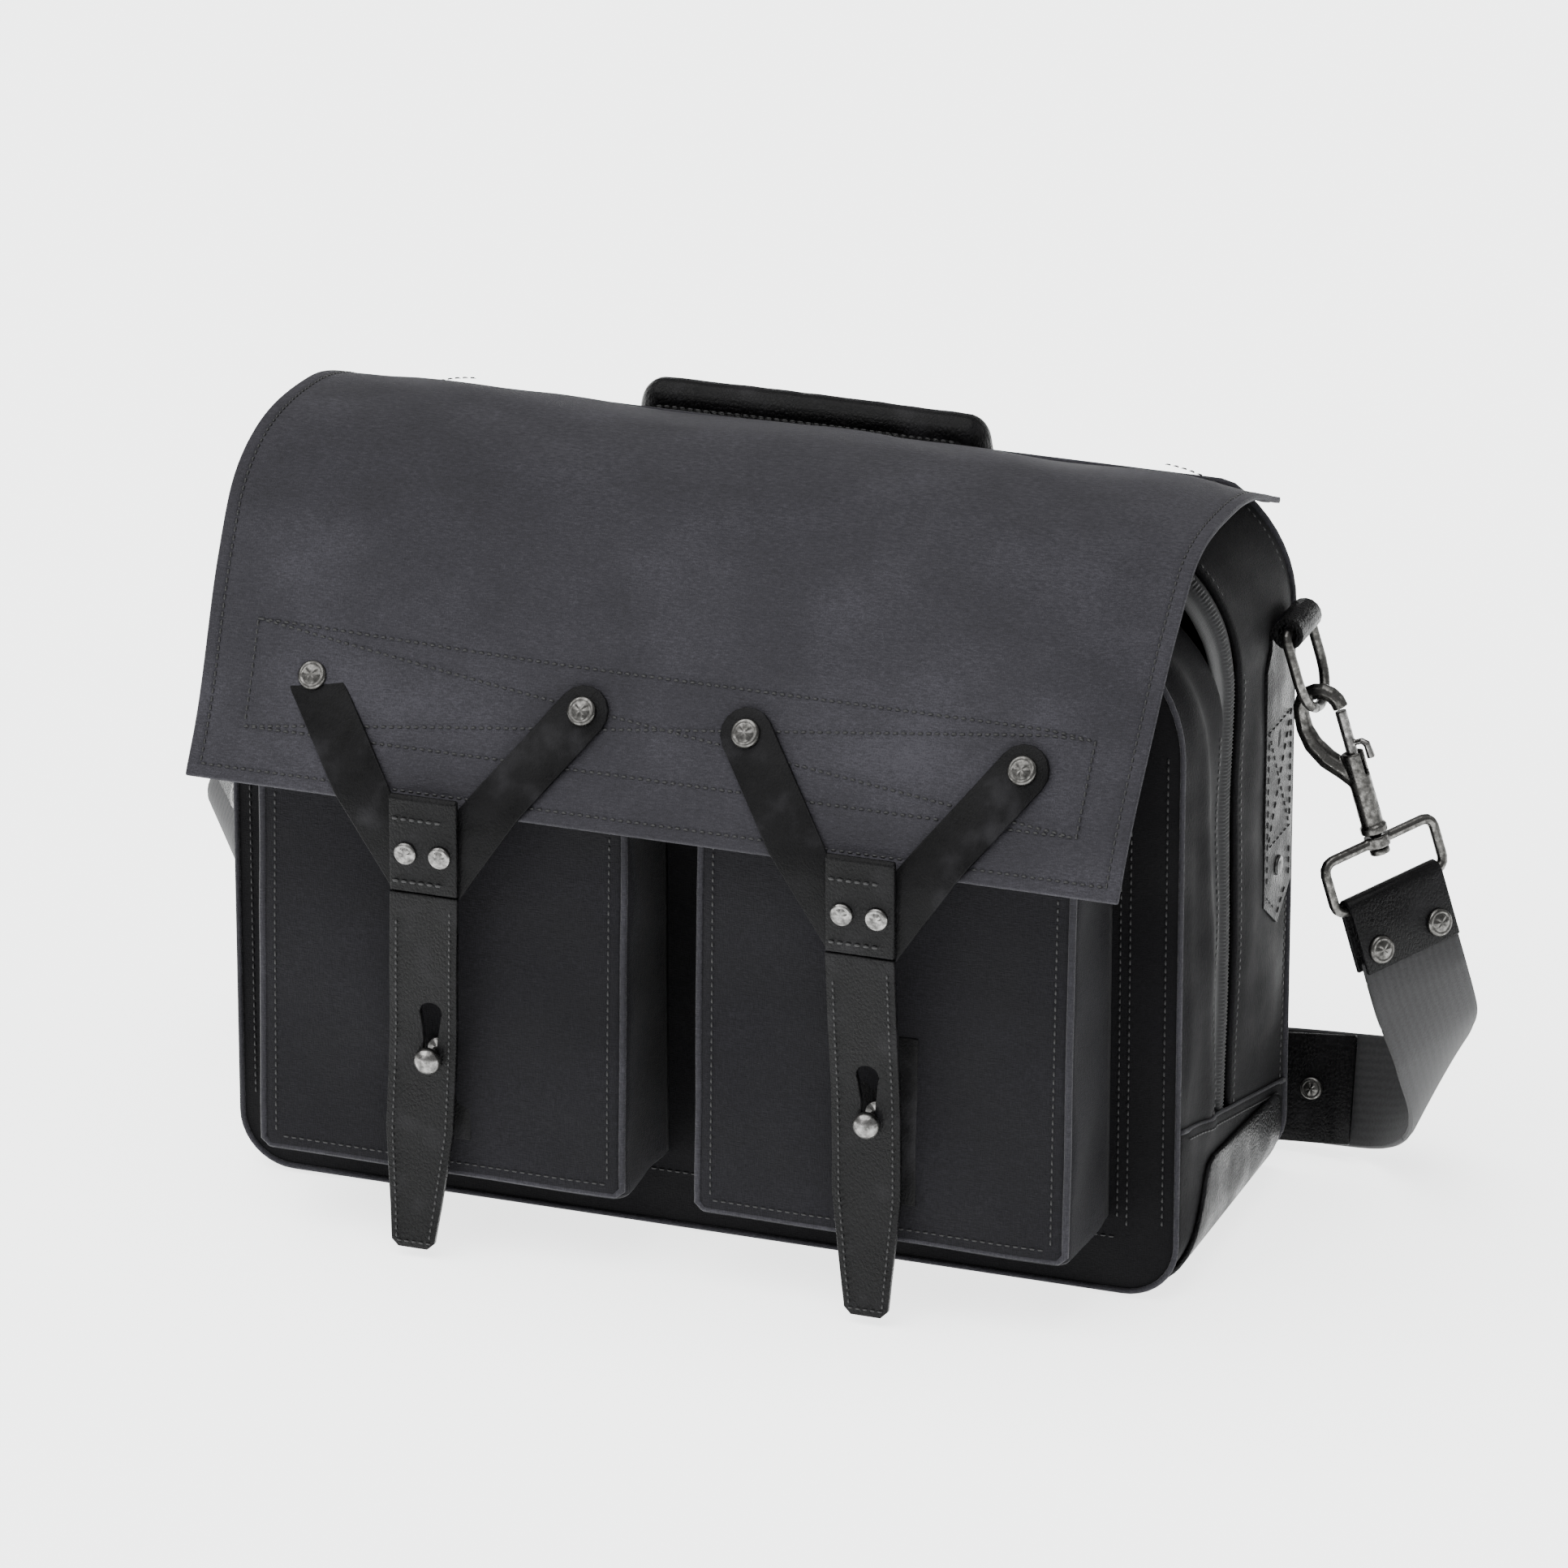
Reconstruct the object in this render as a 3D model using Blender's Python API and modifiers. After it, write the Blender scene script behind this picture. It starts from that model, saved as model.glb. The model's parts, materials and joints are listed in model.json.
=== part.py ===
"""Canvas messenger bag with leather trim, swivel snaps and a shoulder strap.

Metres, +X to the bag's own right as seen from the front, -Y to the front, +Z up.
The origin is on the floor, in the middle of the leather base.
"""
import math

import bmesh
import bpy
from mathutils import Matrix, Vector

# Driving dimensions
HALF_WIDTH = 0.200          # body, side to side
HALF_DEPTH = 0.070          # body without its pockets, front to back
FRONT_TOP = 0.287           # top edge of the front panel
BACK_TOP = 0.3022           # top edge of the back panel
CLOTH = 0.003               # lined canvas
LEATHER = 0.0023
GAP = 0.0003                # between pieces that touch
TOP_RADIUS = 0.055          # upper corners of the body
FOOT_RADIUS = 0.022         # lower corners of the body
BOOT_TOP = 0.060            # upper edge of the base boot on the sides
FOOT = GAP + LEATHER        # underside of the canvas body

# Front gusset, zip and rear gusset share the side of the body
FRONT_GUSSET_REAR = -0.0283
ZIP_FRONT = -0.0280
ZIP_REAR = -0.0040
REAR_GUSSET_FRONT = -0.0037
ZIP_INSET = 0.0055
CHAIN_INSET = 0.0015
CHAIN_Y = -0.0135
CHAIN_HALF = 0.003

# Flap: its outer surface from the hinge, over the top and down to the hem
FLAP_PROFILE = [
    (0.0700, 0.3062),
    (0.0400, 0.3130),
    (0.0000, 0.3160),
    (-0.0400, 0.3110),
    (-0.0680, 0.2950),
    (-0.0900, 0.2690),
    (-0.1170, 0.2240),
    (-0.1340, 0.1970),
]
FLAP_HALF_WIDTH = 0.194
FLAP_THICKNESS = 0.0025
HINGE = (0.0685, 0.3050)    # y and z of the flap's axis

# Yokes: two leather arms each, riveted to the flap and joined over the hem
YOKE_X = 0.0912
ARM_REACH = 0.057
ARM_RISE = 0.0455
ARM_HALF_WIDTH = 0.0107
ARM_FOOT = 0.037
ARM_THICKNESS = 0.002
TONGUE_HALF_WIDTH = 0.0143
TONGUE_TIP_HALF = 0.0092
TONGUE_TOP = 0.160
TONGUE_TAPER = 0.056
TONGUE_TIP = 0.004
TONGUE_THICKNESS = 0.003
TONGUE_LEAN = math.radians(3.6)
JUNCTION_FRONT = -0.1398
JUNCTION_TOP = 0.203
JUNCTION_LIFT = 0.0020      # room for the tongue to swing up
RIVET_RADIUS = 0.006
SMALL_RIVET_RADIUS = 0.0047

# Pockets and their turn studs
POCKET_INNER = 0.0143
POCKET_OUTER = 0.1718
POCKET_FRONT = -0.120
POCKET_FOOT = 0.033
POCKET_TOP = 0.213
POCKET_SLOPE = 0.034        # the front leans back as it rises
POCKET_WALL = 0.0022
STUD_X = 0.0925
STUD_Z = 0.088

# Handle
HANDLE_Y = 0.080
HANDLE_HINGE_Z = 0.2852
HANDLE_X = -0.006           # sewn a little off the middle
HANDLE_REACH = 0.070
HANDLE_RADIUS = 0.008
ANCHOR_HALF = 0.013
ANCHOR_FOOT = 0.246
ANCHOR_TOP = 0.2842
EAR_INNER = HANDLE_REACH + 0.0046
EAR_OUTER = HANDLE_REACH + 0.0074
EAR_FOOT = 0.277            # the ears hold the handle's ends from outside

# Side hardware, measured down from the leather loop that holds the ring
LOOP = Vector((0.2085, 0.0485, 0.2475))
LOOP_LENGTH = 0.025
WIRE = 0.0023
RING_DROP = 0.035
RING_RADIUS = 0.015
BEND_RADIUS = 0.0085
BEND_DROP = RING_DROP + 0.0024
BARREL_OUT = 0.008
FRAME_TOP = 0.0572
FRAME_FOOT = 0.079
FRAME_HALF = 0.027
TAB_HALF = 0.0228
TAB_DROP = 0.027
TAB_RIVET_X = 0.0145
TAB_RIVET_DROP = 0.019
TAB_RIVET_RADIUS = 0.0058
LEAN = {"right": math.radians(17), "left": math.radians(14)}
TURN = math.radians(52)

# Shoulder strap
WEB_WIDTH = 0.0450
WEB_THICKNESS = 0.0024
KEEPER_GAP = 0.0022         # the keeper sits proud of the twisting webbing

for old in list(bpy.data.objects):
    bpy.data.objects.remove(old, do_unlink=True)

bag = bpy.data.collections.new("messenger_bag")
cutters = bpy.data.collections.new("cutters")
bpy.context.scene.collection.children.link(bag)
bpy.context.scene.collection.children.link(cutters)


def material(name, colour, roughness, metallic=0.0):
    made = bpy.data.materials.new(name)
    made.use_nodes = True
    shader = made.node_tree.nodes["Principled BSDF"]
    shader.inputs["Base Color"].default_value = (*colour, 1.0)
    shader.inputs["Roughness"].default_value = roughness
    shader.inputs["Metallic"].default_value = metallic
    made.diffuse_color = (*colour, 1.0)
    return made


CANVAS = ("waxed_canvas", (0.035, 0.035, 0.040), 0.75, 0.0)
HIDE = ("black_leather", (0.018, 0.018, 0.019), 0.38, 0.0)
STEEL = ("antique_nickel", (0.30, 0.29, 0.27), 0.35, 1.0)
WEB = ("black_webbing", (0.030, 0.030, 0.032), 0.85, 0.0)
LINING = ("grey_lining", (0.10, 0.10, 0.11), 0.80, 0.0)
BOARD = ("stiff_board", (0.06, 0.05, 0.04), 0.90, 0.0)
ZIP = ("zip_tape", (0.022, 0.022, 0.024), 0.55, 0.0)


def place(name, mesh, finish):
    """Put a mesh in the scene as a named piece with a material of its own."""
    thing = bpy.data.objects.new(name, mesh)
    bag.objects.link(thing)
    mesh.materials.clear()
    mesh.materials.append(material(f"{name}_{finish[0]}", finish[1], finish[2], finish[3]))
    return thing


def flat(outlines, half_thickness):
    """A mesh plate in the local XY plane from one or more closed outlines."""
    curve = bpy.data.curves.new("outline", "CURVE")
    curve.dimensions = "2D"
    curve.fill_mode = "BOTH"
    curve.extrude = half_thickness
    for outline in outlines:
        spline = curve.splines.new("POLY")
        spline.points.add(len(outline) - 1)
        spline.use_cyclic_u = True
        for point, (x, y) in zip(spline.points, outline):
            point.co = (x, y, 0.0, 1.0)
    return solid_from_curve(curve)


def tube(points, radii, sides=2, closed=False):
    """A mesh tube along points, with a radius of its own at each."""
    curve = bpy.data.curves.new("path", "CURVE")
    curve.dimensions = "3D"
    curve.bevel_depth = 1.0
    curve.bevel_resolution = sides
    curve.use_fill_caps = not closed
    curve.use_radius = True
    spline = curve.splines.new("POLY")
    spline.points.add(len(points) - 1)
    spline.use_cyclic_u = closed
    for point, place_at, radius in zip(spline.points, points, radii):
        point.co = (*place_at, 1.0)
        point.radius = radius
    return solid_from_curve(curve)


def face_out(form):
    """Point every face of a closed form outwards."""
    bmesh.ops.recalc_face_normals(form, faces=form.faces)
    if form.calc_volume(signed=True) < 0:
        bmesh.ops.reverse_faces(form, faces=form.faces)


def solid_from_curve(curve):
    """Turn a curve into a closed mesh with its caps welded."""
    holder = bpy.data.objects.new("curve", curve)
    bag.objects.link(holder)
    graph = bpy.context.evaluated_depsgraph_get()
    mesh = bpy.data.meshes.new_from_object(holder.evaluated_get(graph))
    bpy.data.objects.remove(holder)
    form = bmesh.new()
    form.from_mesh(mesh)
    bmesh.ops.remove_doubles(form, verts=form.verts, dist=0.00001)
    face_out(form)
    form.to_mesh(mesh)
    form.free()
    return mesh


def block(low, high):
    """A mesh box between two corners."""
    form = bmesh.new()
    bmesh.ops.create_cube(form, size=1.0)
    size = [b - a for a, b in zip(low, high)]
    middle = [(a + b) / 2 for a, b in zip(low, high)]
    for corner in form.verts:
        corner.co = [c * s + m for c, s, m in zip(corner.co, size, middle)]
    mesh = bpy.data.meshes.new("block")
    form.to_mesh(mesh)
    form.free()
    return mesh


def turned(profile, steps=16):
    """A mesh turned about local Z, from (radius, height) points, top to bottom."""
    form = bmesh.new()
    made = [form.verts.new((r, 0.0, h)) for r, h in profile]
    for a, b in zip(made, made[1:]):
        form.edges.new((a, b))
    mesh = bpy.data.meshes.new("turned")
    form.to_mesh(mesh)
    form.free()
    holder = bpy.data.objects.new("turned", mesh)
    bag.objects.link(holder)
    screw = holder.modifiers.new("turn", "SCREW")
    screw.steps = steps
    screw.render_steps = steps
    screw.use_merge_vertices = True
    screw.merge_threshold = 0.00001
    graph = bpy.context.evaluated_depsgraph_get()
    result = bpy.data.meshes.new_from_object(holder.evaluated_get(graph))
    bpy.data.objects.remove(holder)
    form = bmesh.new()
    form.from_mesh(result)
    bmesh.ops.remove_doubles(form, verts=form.verts, dist=0.00001)
    face_out(form)
    form.to_mesh(result)
    form.free()
    return result


def bolt(thing, mesh, operation):
    """Join a mesh to a piece, or cut it out, and keep the result in the piece."""
    tool = bpy.data.objects.new(f"{thing.name}_{operation.lower()}", mesh)
    cutters.objects.link(tool)
    tool.hide_render = True
    tool.display_type = "WIRE"
    change = thing.modifiers.new(tool.name, "BOOLEAN")
    change.operation = operation
    change.object = tool
    change.solver = "EXACT"
    return tool


# Turns from the XY plane: to the XZ plane, to the YZ plane, and on to the snap hook's barrel
FACING_FRONT = Matrix(((1, 0, 0, 0), (0, 0, -1, 0), (0, 1, 0, 0), (0, 0, 0, 1)))
FACING_SIDE = Matrix(((0, 0, 1, 0), (1, 0, 0, 0), (0, 1, 0, 0), (0, 0, 0, 1)))
ON_BARREL = Matrix(((1, 0, 0, BARREL_OUT), (0, -1, 0, 0), (0, 0, -1, 0), (0, 0, 0, 1)))


def upright(outlines, y_low, y_high):
    """A plate whose outline is in X and Z, between two depths."""
    mesh = flat(outlines, (y_high - y_low) / 2)
    mesh.transform(Matrix.Translation((0, (y_low + y_high) / 2, 0)) @ FACING_FRONT)
    return mesh


def arc(centre, radius, start, end, steps=6):
    """Points on an arc, angles in degrees."""
    turns = [math.radians(start + (end - start) * i / steps) for i in range(steps + 1)]
    return [(centre[0] + radius * math.cos(t), centre[1] + radius * math.sin(t)) for t in turns]


def rounded_panel(half, low, high, low_radius, high_radius):
    return (
        arc((half - low_radius, low + low_radius), low_radius, -90, 0)
        + arc((half - high_radius, high - high_radius), high_radius, 0, 90)
        + arc((high_radius - half, high - high_radius), high_radius, 90, 180)
        + arc((low_radius - half, low + low_radius), low_radius, 180, 270)
    )


def mirrored(outline, side):
    return [(side * x, z) for x, z in outline][:: int(side)]


SIDES = (("left", -1), ("right", 1))


# ---- Body shell -------------------------------------------------------------
def body_panels():
    outline = rounded_panel(HALF_WIDTH, FOOT, FRONT_TOP, FOOT_RADIUS, TOP_RADIUS)
    place("front_panel", upright([outline], -HALF_DEPTH, CLOTH - HALF_DEPTH), CANVAS)
    outline = rounded_panel(HALF_WIDTH, FOOT, BACK_TOP, FOOT_RADIUS, TOP_RADIUS)
    place("back_panel", upright([outline], HALF_DEPTH - CLOTH, HALF_DEPTH), CANVAS)


def side_strip(inset, thickness, top):
    """Outline of a band up one side and round the upper corner."""
    centre = (HALF_WIDTH - TOP_RADIUS, top - TOP_RADIUS)
    outer = [(HALF_WIDTH - inset, BOOT_TOP + GAP)] + arc(centre, TOP_RADIUS - inset, 0, 90, 8)
    inner = arc(centre, TOP_RADIUS - inset - thickness, 90, 0, 8)
    inner.append((HALF_WIDTH - inset - thickness, BOOT_TOP + GAP))
    return outer + inner


def gussets():
    inside = HALF_DEPTH - CLOTH - GAP
    for name, side in SIDES:
        outline = mirrored(side_strip(0, CLOTH, FRONT_TOP), side)
        place(f"front_gusset_{name}", upright([outline], -inside, FRONT_GUSSET_REAR), CANVAS)
        outline = mirrored(side_strip(0, CLOTH, BACK_TOP), side)
        place(f"rear_gusset_{name}", upright([outline], REAR_GUSSET_FRONT, inside), CANVAS)


def zips():
    tape = 0.0025
    for name, side in SIDES:
        outline = mirrored(side_strip(ZIP_INSET, tape, BACK_TOP), side)
        made = place(f"zip_{name}", upright([outline], ZIP_FRONT, ZIP_REAR), ZIP)
        thick = ZIP_INSET - CHAIN_INSET + tape / 2
        chain = mirrored(side_strip(CHAIN_INSET, thick, BACK_TOP), side)
        bolt(made, upright([chain], CHAIN_Y - CHAIN_HALF, CHAIN_Y + CHAIN_HALF), "UNION")
        slider(name, side)


def slider(name, side):
    """A zip slider at the top of the corner, which rides round it."""
    axis = Vector((side * (HALF_WIDTH - TOP_RADIUS), CHAIN_Y, BACK_TOP - TOP_RADIUS))
    seat = TOP_RADIUS - CHAIN_INSET + 0.0006
    body = block((-0.005, -0.0048, seat), (0.005, 0.0048, seat + 0.0030))
    made = place(f"zip_slider_{name}", body, STEEL)
    ends = sorted((-side * 0.004, -side * 0.026))
    pull = block((ends[0], -0.0025, seat + 0.0022), (ends[1], 0.0025, seat + 0.0036))
    bolt(made, pull, "UNION").matrix_world = Matrix.Translation(axis)
    made.location = axis


def boot_path(inset, top):
    """Half outline points from one side's top, round the foot, to the middle."""
    half = HALF_WIDTH - inset
    centre = (HALF_WIDTH - FOOT_RADIUS, FOOT + FOOT_RADIUS)
    return [(half, top)] + arc(centre, FOOT_RADIUS - inset, 0, -90, 8)


def cradle(outer_inset, inner_inset, top):
    """Outline of a band that goes under the body and up both sides."""
    outer = boot_path(outer_inset, top)
    inner = boot_path(inner_inset, top)
    outer += [(-x, z) for x, z in reversed(outer)]
    inner += [(-x, z) for x, z in reversed(inner)]
    return outer + inner[::-1]


def base():
    inside = HALF_DEPTH - CLOTH - GAP
    place("base_boot", upright([cradle(0, CLOTH, BOOT_TOP)], -inside, inside), CANVAS)
    wrap = cradle(-FOOT, -GAP, 0.048)
    place("leather_base", upright([wrap], -0.057, 0.057), HIDE)
    board_foot = FOOT + CLOTH + 0.0006
    board_top = board_foot + 0.0025
    place("base_board", block((-0.176, -0.065, board_foot), (0.176, 0.065, board_top)), BOARD)
    low = board_top + 0.0006
    outline = rounded_panel(0.185, low, 0.285, 0.012, 0.040)
    place("laptop_divider", upright([outline], -0.0165, -0.0085), LINING)


# ---- Flap and the leather on it ---------------------------------------------
def smooth_path(points, steps):
    """A Catmull-Rom path through points."""
    ends = [2 * Vector(points[0]) - Vector(points[1])]
    ends += [Vector(p) for p in points]
    ends.append(2 * ends[-1] - ends[-2])
    path = []
    for a, b, c, d in zip(ends, ends[1:], ends[2:], ends[3:]):
        for i in range(steps):
            t = i / steps
            path.append(
                0.5 * (2 * b + (c - a) * t + (2 * a - 5 * b + 4 * c - d) * t**2
                       + (3 * b - a - 3 * c + d) * t**3)
            )
    path.append(ends[-2])
    return path


def flap_rows():
    """Distance up from the hem, depth and height, for each row of the flap's surface."""
    path = smooth_path(list(reversed(FLAP_PROFILE)), 3)
    rows = [(0.0, path[0].x, path[0].y)]
    for a, b in zip(path, path[1:]):
        rows.append((rows[-1][0] + (b - a).length, b.x, b.y))
    return rows


ROWS = flap_rows()


def drape(mesh, levels):
    """Wrap a plate on to the flap: X stays, Z is the distance up from the hem."""
    form = bmesh.new()
    form.from_mesh(mesh)
    for level in levels:
        everything = form.verts[:] + form.edges[:] + form.faces[:]
        bmesh.ops.bisect_plane(form, geom=everything, plane_co=(0, 0, level), plane_no=(0, 0, 1))
    for corner in form.verts:
        up = corner.co.z
        lift = -corner.co.y
        point, normal = flap_point(up)
        corner.co = (corner.co.x, point[0] + normal[0] * lift, point[1] + normal[1] * lift)
    face_out(form)
    form.to_mesh(mesh)
    form.free()
    return mesh


def flap_point(up):
    """Depth and height of the flap's outer surface, and its outward normal."""
    if up <= 0:
        tilt = 0.5 if up > -0.0005 else 0.0
        slope = segment_normal(0)
        normal = Vector((-1, 0)).lerp(slope, tilt).normalized()
        return (ROWS[0][1], ROWS[0][2] + up), normal
    for i, (a, b) in enumerate(zip(ROWS, ROWS[1:])):
        if up <= b[0] + 1e-7 or i == len(ROWS) - 2:
            t = (up - a[0]) / (b[0] - a[0])
            near = segment_normal(max(i - 1, 0)).lerp(segment_normal(i), 0.5)
            far = segment_normal(i).lerp(segment_normal(min(i + 1, len(ROWS) - 2)), 0.5)
            normal = near.lerp(far, t).normalized()
            return (a[1] + (b[1] - a[1]) * t, a[2] + (b[2] - a[2]) * t), normal


def segment_normal(i):
    a, b = ROWS[i], ROWS[i + 1]
    along = Vector((b[1] - a[1], b[2] - a[2])).normalized()
    return Vector((-along.y, along.x))


def flap():
    length = ROWS[-1][0]
    outline = [
        (-FLAP_HALF_WIDTH, 0.0),
        (FLAP_HALF_WIDTH, 0.0),
        (FLAP_HALF_WIDTH, length),
        (-FLAP_HALF_WIDTH, length),
    ]
    mesh = drape(upright([outline], 0.0, FLAP_THICKNESS), [row[0] for row in ROWS[1:-1]])
    place("flap", mesh, CANVAS)
    low, high, half = 0.0210, 0.0650, 0.176
    outline = [(-half, low), (half, low), (half, high), (-half, high)]
    under = FLAP_THICKNESS + GAP
    mesh = drape(upright([outline], under, under + 0.001), [r[0] for r in ROWS if low < r[0] < high])
    place("flap_reinforcement", mesh, LINING)


def arm_outline():
    """One arm of a yoke, in X and distance up from the hem."""
    foot = Vector((0.009, -0.025))
    head = Vector((ARM_REACH, ARM_RISE))
    along = (foot - head).normalized()
    heading = math.degrees(math.atan2(along.y, along.x))
    cap = arc(head, ARM_HALF_WIDTH, heading + 90, heading + 270, 8)
    inner = Vector(cap[-1])
    inner += along * ((inner.x - GAP / 2) / -along.x)
    outer = Vector(cap[0])
    outer += along * ((outer.x - TONGUE_HALF_WIDTH) / -along.x)
    return cap + [tuple(inner), (GAP / 2, -ARM_FOOT), (TONGUE_HALF_WIDTH, -ARM_FOOT), tuple(outer)]


def yokes():
    shape = arm_outline()
    levels = [0.0] + [r[0] for r in ROWS if 0 < r[0] < 0.056]
    for name, side in SIDES:
        centre = side * YOKE_X
        for where, way in (("outer", side), ("inner", -side)):
            outline = [(centre + x, s) for x, s in mirrored(shape, way)]
            mesh = upright([outline], -GAP - ARM_THICKNESS, -GAP)
            place(f"yoke_arm_{name}_{where}", drape(mesh, levels), HIDE)
            point, normal = flap_point(ARM_RISE)
            lift = 2 * GAP + ARM_THICKNESS
            seat = Vector((centre + way * ARM_REACH, point[0] + normal[0] * lift,
                           point[1] + normal[1] * lift))
            rivet(f"flap_rivet_{name}_{where}", seat, (0, normal[0], normal[1]), RIVET_RADIUS)
            seat = Vector((centre + way * 0.0072, JUNCTION_FRONT - GAP, 0.1785))
            rivet(f"junction_rivet_{name}_{where}", seat, (0, -1, 0), SMALL_RIVET_RADIUS)
        junction(name, centre)
        tongue(name, centre, side)


def rivet(name, seat, facing, radius):
    """A domed rivet cap that stands on seat and faces out."""
    rise = radius * 0.36
    profile = [
        (0.0, rise),
        (radius * 0.6, rise * 0.85),
        (radius, rise * 0.35),
        (radius, 0.0),
        (0.0, 0.0),
    ]
    made = place(name, turned(profile), STEEL)
    turn = Vector(facing).to_track_quat("Z", "Y").to_matrix().to_4x4()
    made.matrix_world = Matrix.Translation(seat) @ turn
    return made


def junction(name, centre):
    """The folded keeper over the meeting arms."""
    half = TONGUE_HALF_WIDTH
    fold = 0.0015
    section = [
        (JUNCTION_FRONT, TONGUE_TOP + JUNCTION_LIFT),
        (JUNCTION_FRONT, JUNCTION_TOP - fold),
        (JUNCTION_FRONT + fold, JUNCTION_TOP),
        (JUNCTION_FRONT + 0.003, JUNCTION_TOP - fold / 2),
        (JUNCTION_FRONT + 0.003, TONGUE_TOP + JUNCTION_LIFT),
    ]
    mesh = flat([section], half)
    mesh.transform(Matrix.Translation((centre, 0, 0)) @ FACING_SIDE)
    place(f"junction_{name}", mesh, HIDE)


# Depth of the tongue's middle at heights on its way down
TONGUE_HANG = [
    (0.160, -0.1383),
    (0.125, -0.1345),
    (0.100, -0.1312),
    (0.075, -0.1300),
    (0.040, -0.1298),
    (0.004, -0.1302),
]


def tongue(name, centre, side):
    """The closing tongue, with the opening that the stud's head passes through."""
    half, tip = TONGUE_HALF_WIDTH, TONGUE_TIP_HALF
    nip = 0.004
    outline = [
        (-half, TONGUE_TOP), (-half, TONGUE_TAPER), (-tip, TONGUE_TIP + nip), (nip - tip, TONGUE_TIP),
        (tip - nip, TONGUE_TIP), (tip, TONGUE_TIP + nip), (half, TONGUE_TAPER), (half, TONGUE_TOP),
    ]
    lean = TONGUE_LEAN if side < 0 else 0.0
    stud_x = side * STUD_X - centre - (STUD_Z - TONGUE_TOP) * math.tan(lean)
    slot = 0.0066
    low, high = STUD_Z - 0.0085, STUD_Z + 0.019
    hole = arc((stud_x, low), slot, 180, 360, 8) + arc((stud_x, high), slot, 0, 180, 8)
    mesh = upright([outline, hole], -TONGUE_THICKNESS / 2, TONGUE_THICKNESS / 2)
    form = bmesh.new()
    form.from_mesh(mesh)
    for level, _ in TONGUE_HANG[1:-1]:
        everything = form.verts[:] + form.edges[:] + form.faces[:]
        bmesh.ops.bisect_plane(form, geom=everything, plane_co=(0, 0, level), plane_no=(0, 0, 1))
    for corner in form.verts:
        z = corner.co.z
        corner.co.y += hang(z)
        corner.co.x += centre + (z - TONGUE_TOP) * math.tan(lean)
    form.to_mesh(mesh)
    form.free()
    place(f"tongue_{name}", mesh, HIDE)


def hang(z):
    for (high, y_high), (low, y_low) in zip(TONGUE_HANG, TONGUE_HANG[1:]):
        if z >= low - 1e-6:
            return y_low + (y_high - y_low) * (z - low) / (high - low)
    return TONGUE_HANG[-1][1]


# ---- Pockets and studs ------------------------------------------------------
def pockets():
    back = -HALF_DEPTH - GAP
    corner = 0.008
    for name, side in SIDES:
        low, high = sorted((side * POCKET_INNER, side * POCKET_OUTER))
        outer = plan(low, high, POCKET_FRONT, back, corner)
        made = place(f"pocket_{name}", slab(outer, POCKET_FOOT, POCKET_TOP), CANVAS)
        wall = POCKET_WALL
        hollow = plan(low + wall, high - wall, POCKET_FRONT + wall, back + wall, corner - wall)
        bolt(made, slab(hollow, POCKET_FOOT + wall, POCKET_TOP + wall), "DIFFERENCE")
        centre = side * 0.094
        tab_half = 0.0145
        front = POCKET_FRONT - GAP
        tab = block((centre - tab_half, front - 0.002, 0.050), (centre + tab_half, front, 0.121))
        place(f"stud_tab_{name}", lean_back(tab), HIDE)
        stud(name, side)


def plan(low, high, front, back, corner):
    """A pocket seen from above, with round front corners."""
    return (
        [(high, back), (low, back)]
        + arc((low + corner, front + corner), corner, 180, 270, 4)
        + arc((high - corner, front + corner), corner, 270, 360, 4)
    )


def slab(outline, foot, top):
    mesh = flat([outline], (top - foot) / 2)
    mesh.transform(Matrix.Translation((0, 0, (top + foot) / 2)))
    return lean_back(mesh)


def lean_back(mesh):
    """Move the front of a pocket piece back as it rises, and leave the rear where it is."""
    depth = -HALF_DEPTH - GAP - POCKET_FRONT
    for corner in mesh.vertices:
        share = (-HALF_DEPTH - GAP - corner.co.y) / depth
        corner.co.y += share * (corner.co.z - POCKET_FOOT) * POCKET_SLOPE
    return mesh


def stud(name, side):
    seat = POCKET_FRONT + (STUD_Z - POCKET_FOOT) * POCKET_SLOPE - 2 * GAP - 0.002
    reach = seat + 0.1325
    head = [(0.0, 0.0060), (0.0028, 0.0056), (0.0048, 0.0040), (0.0054, 0.0022), (0.0046, 0.0004)]
    neck, foot = 0.0020, 0.0045
    profile = [(r, reach + h) for r, h in head]
    profile += [(neck, reach), (neck, 0.0012), (foot, 0.0012), (foot, 0.0), (0.0, 0.0)]
    made = place(f"stud_{name}", turned(profile), STEEL)
    turn = Vector((0, -1, 0)).to_track_quat("Z", "Y").to_matrix().to_4x4()
    made.matrix_world = Matrix.Translation((side * STUD_X, seat, STUD_Z)) @ turn


# ---- Handle -----------------------------------------------------------------
def handle():
    half_path = [
        (HANDLE_REACH, 0.0006, 0.0040),
        (HANDLE_REACH - 0.004, 0.0080, 0.0056),
        (0.056, 0.0148, HANDLE_RADIUS),
        (0.030, 0.0158, HANDLE_RADIUS),
    ]
    path = [(-x, z, r) for x, z, r in half_path] + half_path[::-1]
    made = place("handle_grip", tube([(x, 0, z) for x, z, _ in path], [r for _, _, r in path], 2), HIDE)
    made.location = (HANDLE_X, HANDLE_Y, HANDLE_HINGE_Z)
    back = HALF_DEPTH + GAP
    for name, side in SIDES:
        centre = HANDLE_X + side * HANDLE_REACH
        patch = block(
            (centre - ANCHOR_HALF, back, ANCHOR_FOOT),
            (centre + ANCHOR_HALF, back + LEATHER, ANCHOR_TOP),
        )
        anchor = place(f"handle_anchor_{name}", patch, HIDE)
        low, high = sorted((HANDLE_X + side * EAR_INNER, HANDLE_X + side * EAR_OUTER))
        ear = block((low, back + 0.001, EAR_FOOT), (high, HANDLE_Y + 0.004, HANDLE_HINGE_Z + 0.005))
        bolt(anchor, ear, "UNION")


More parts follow.
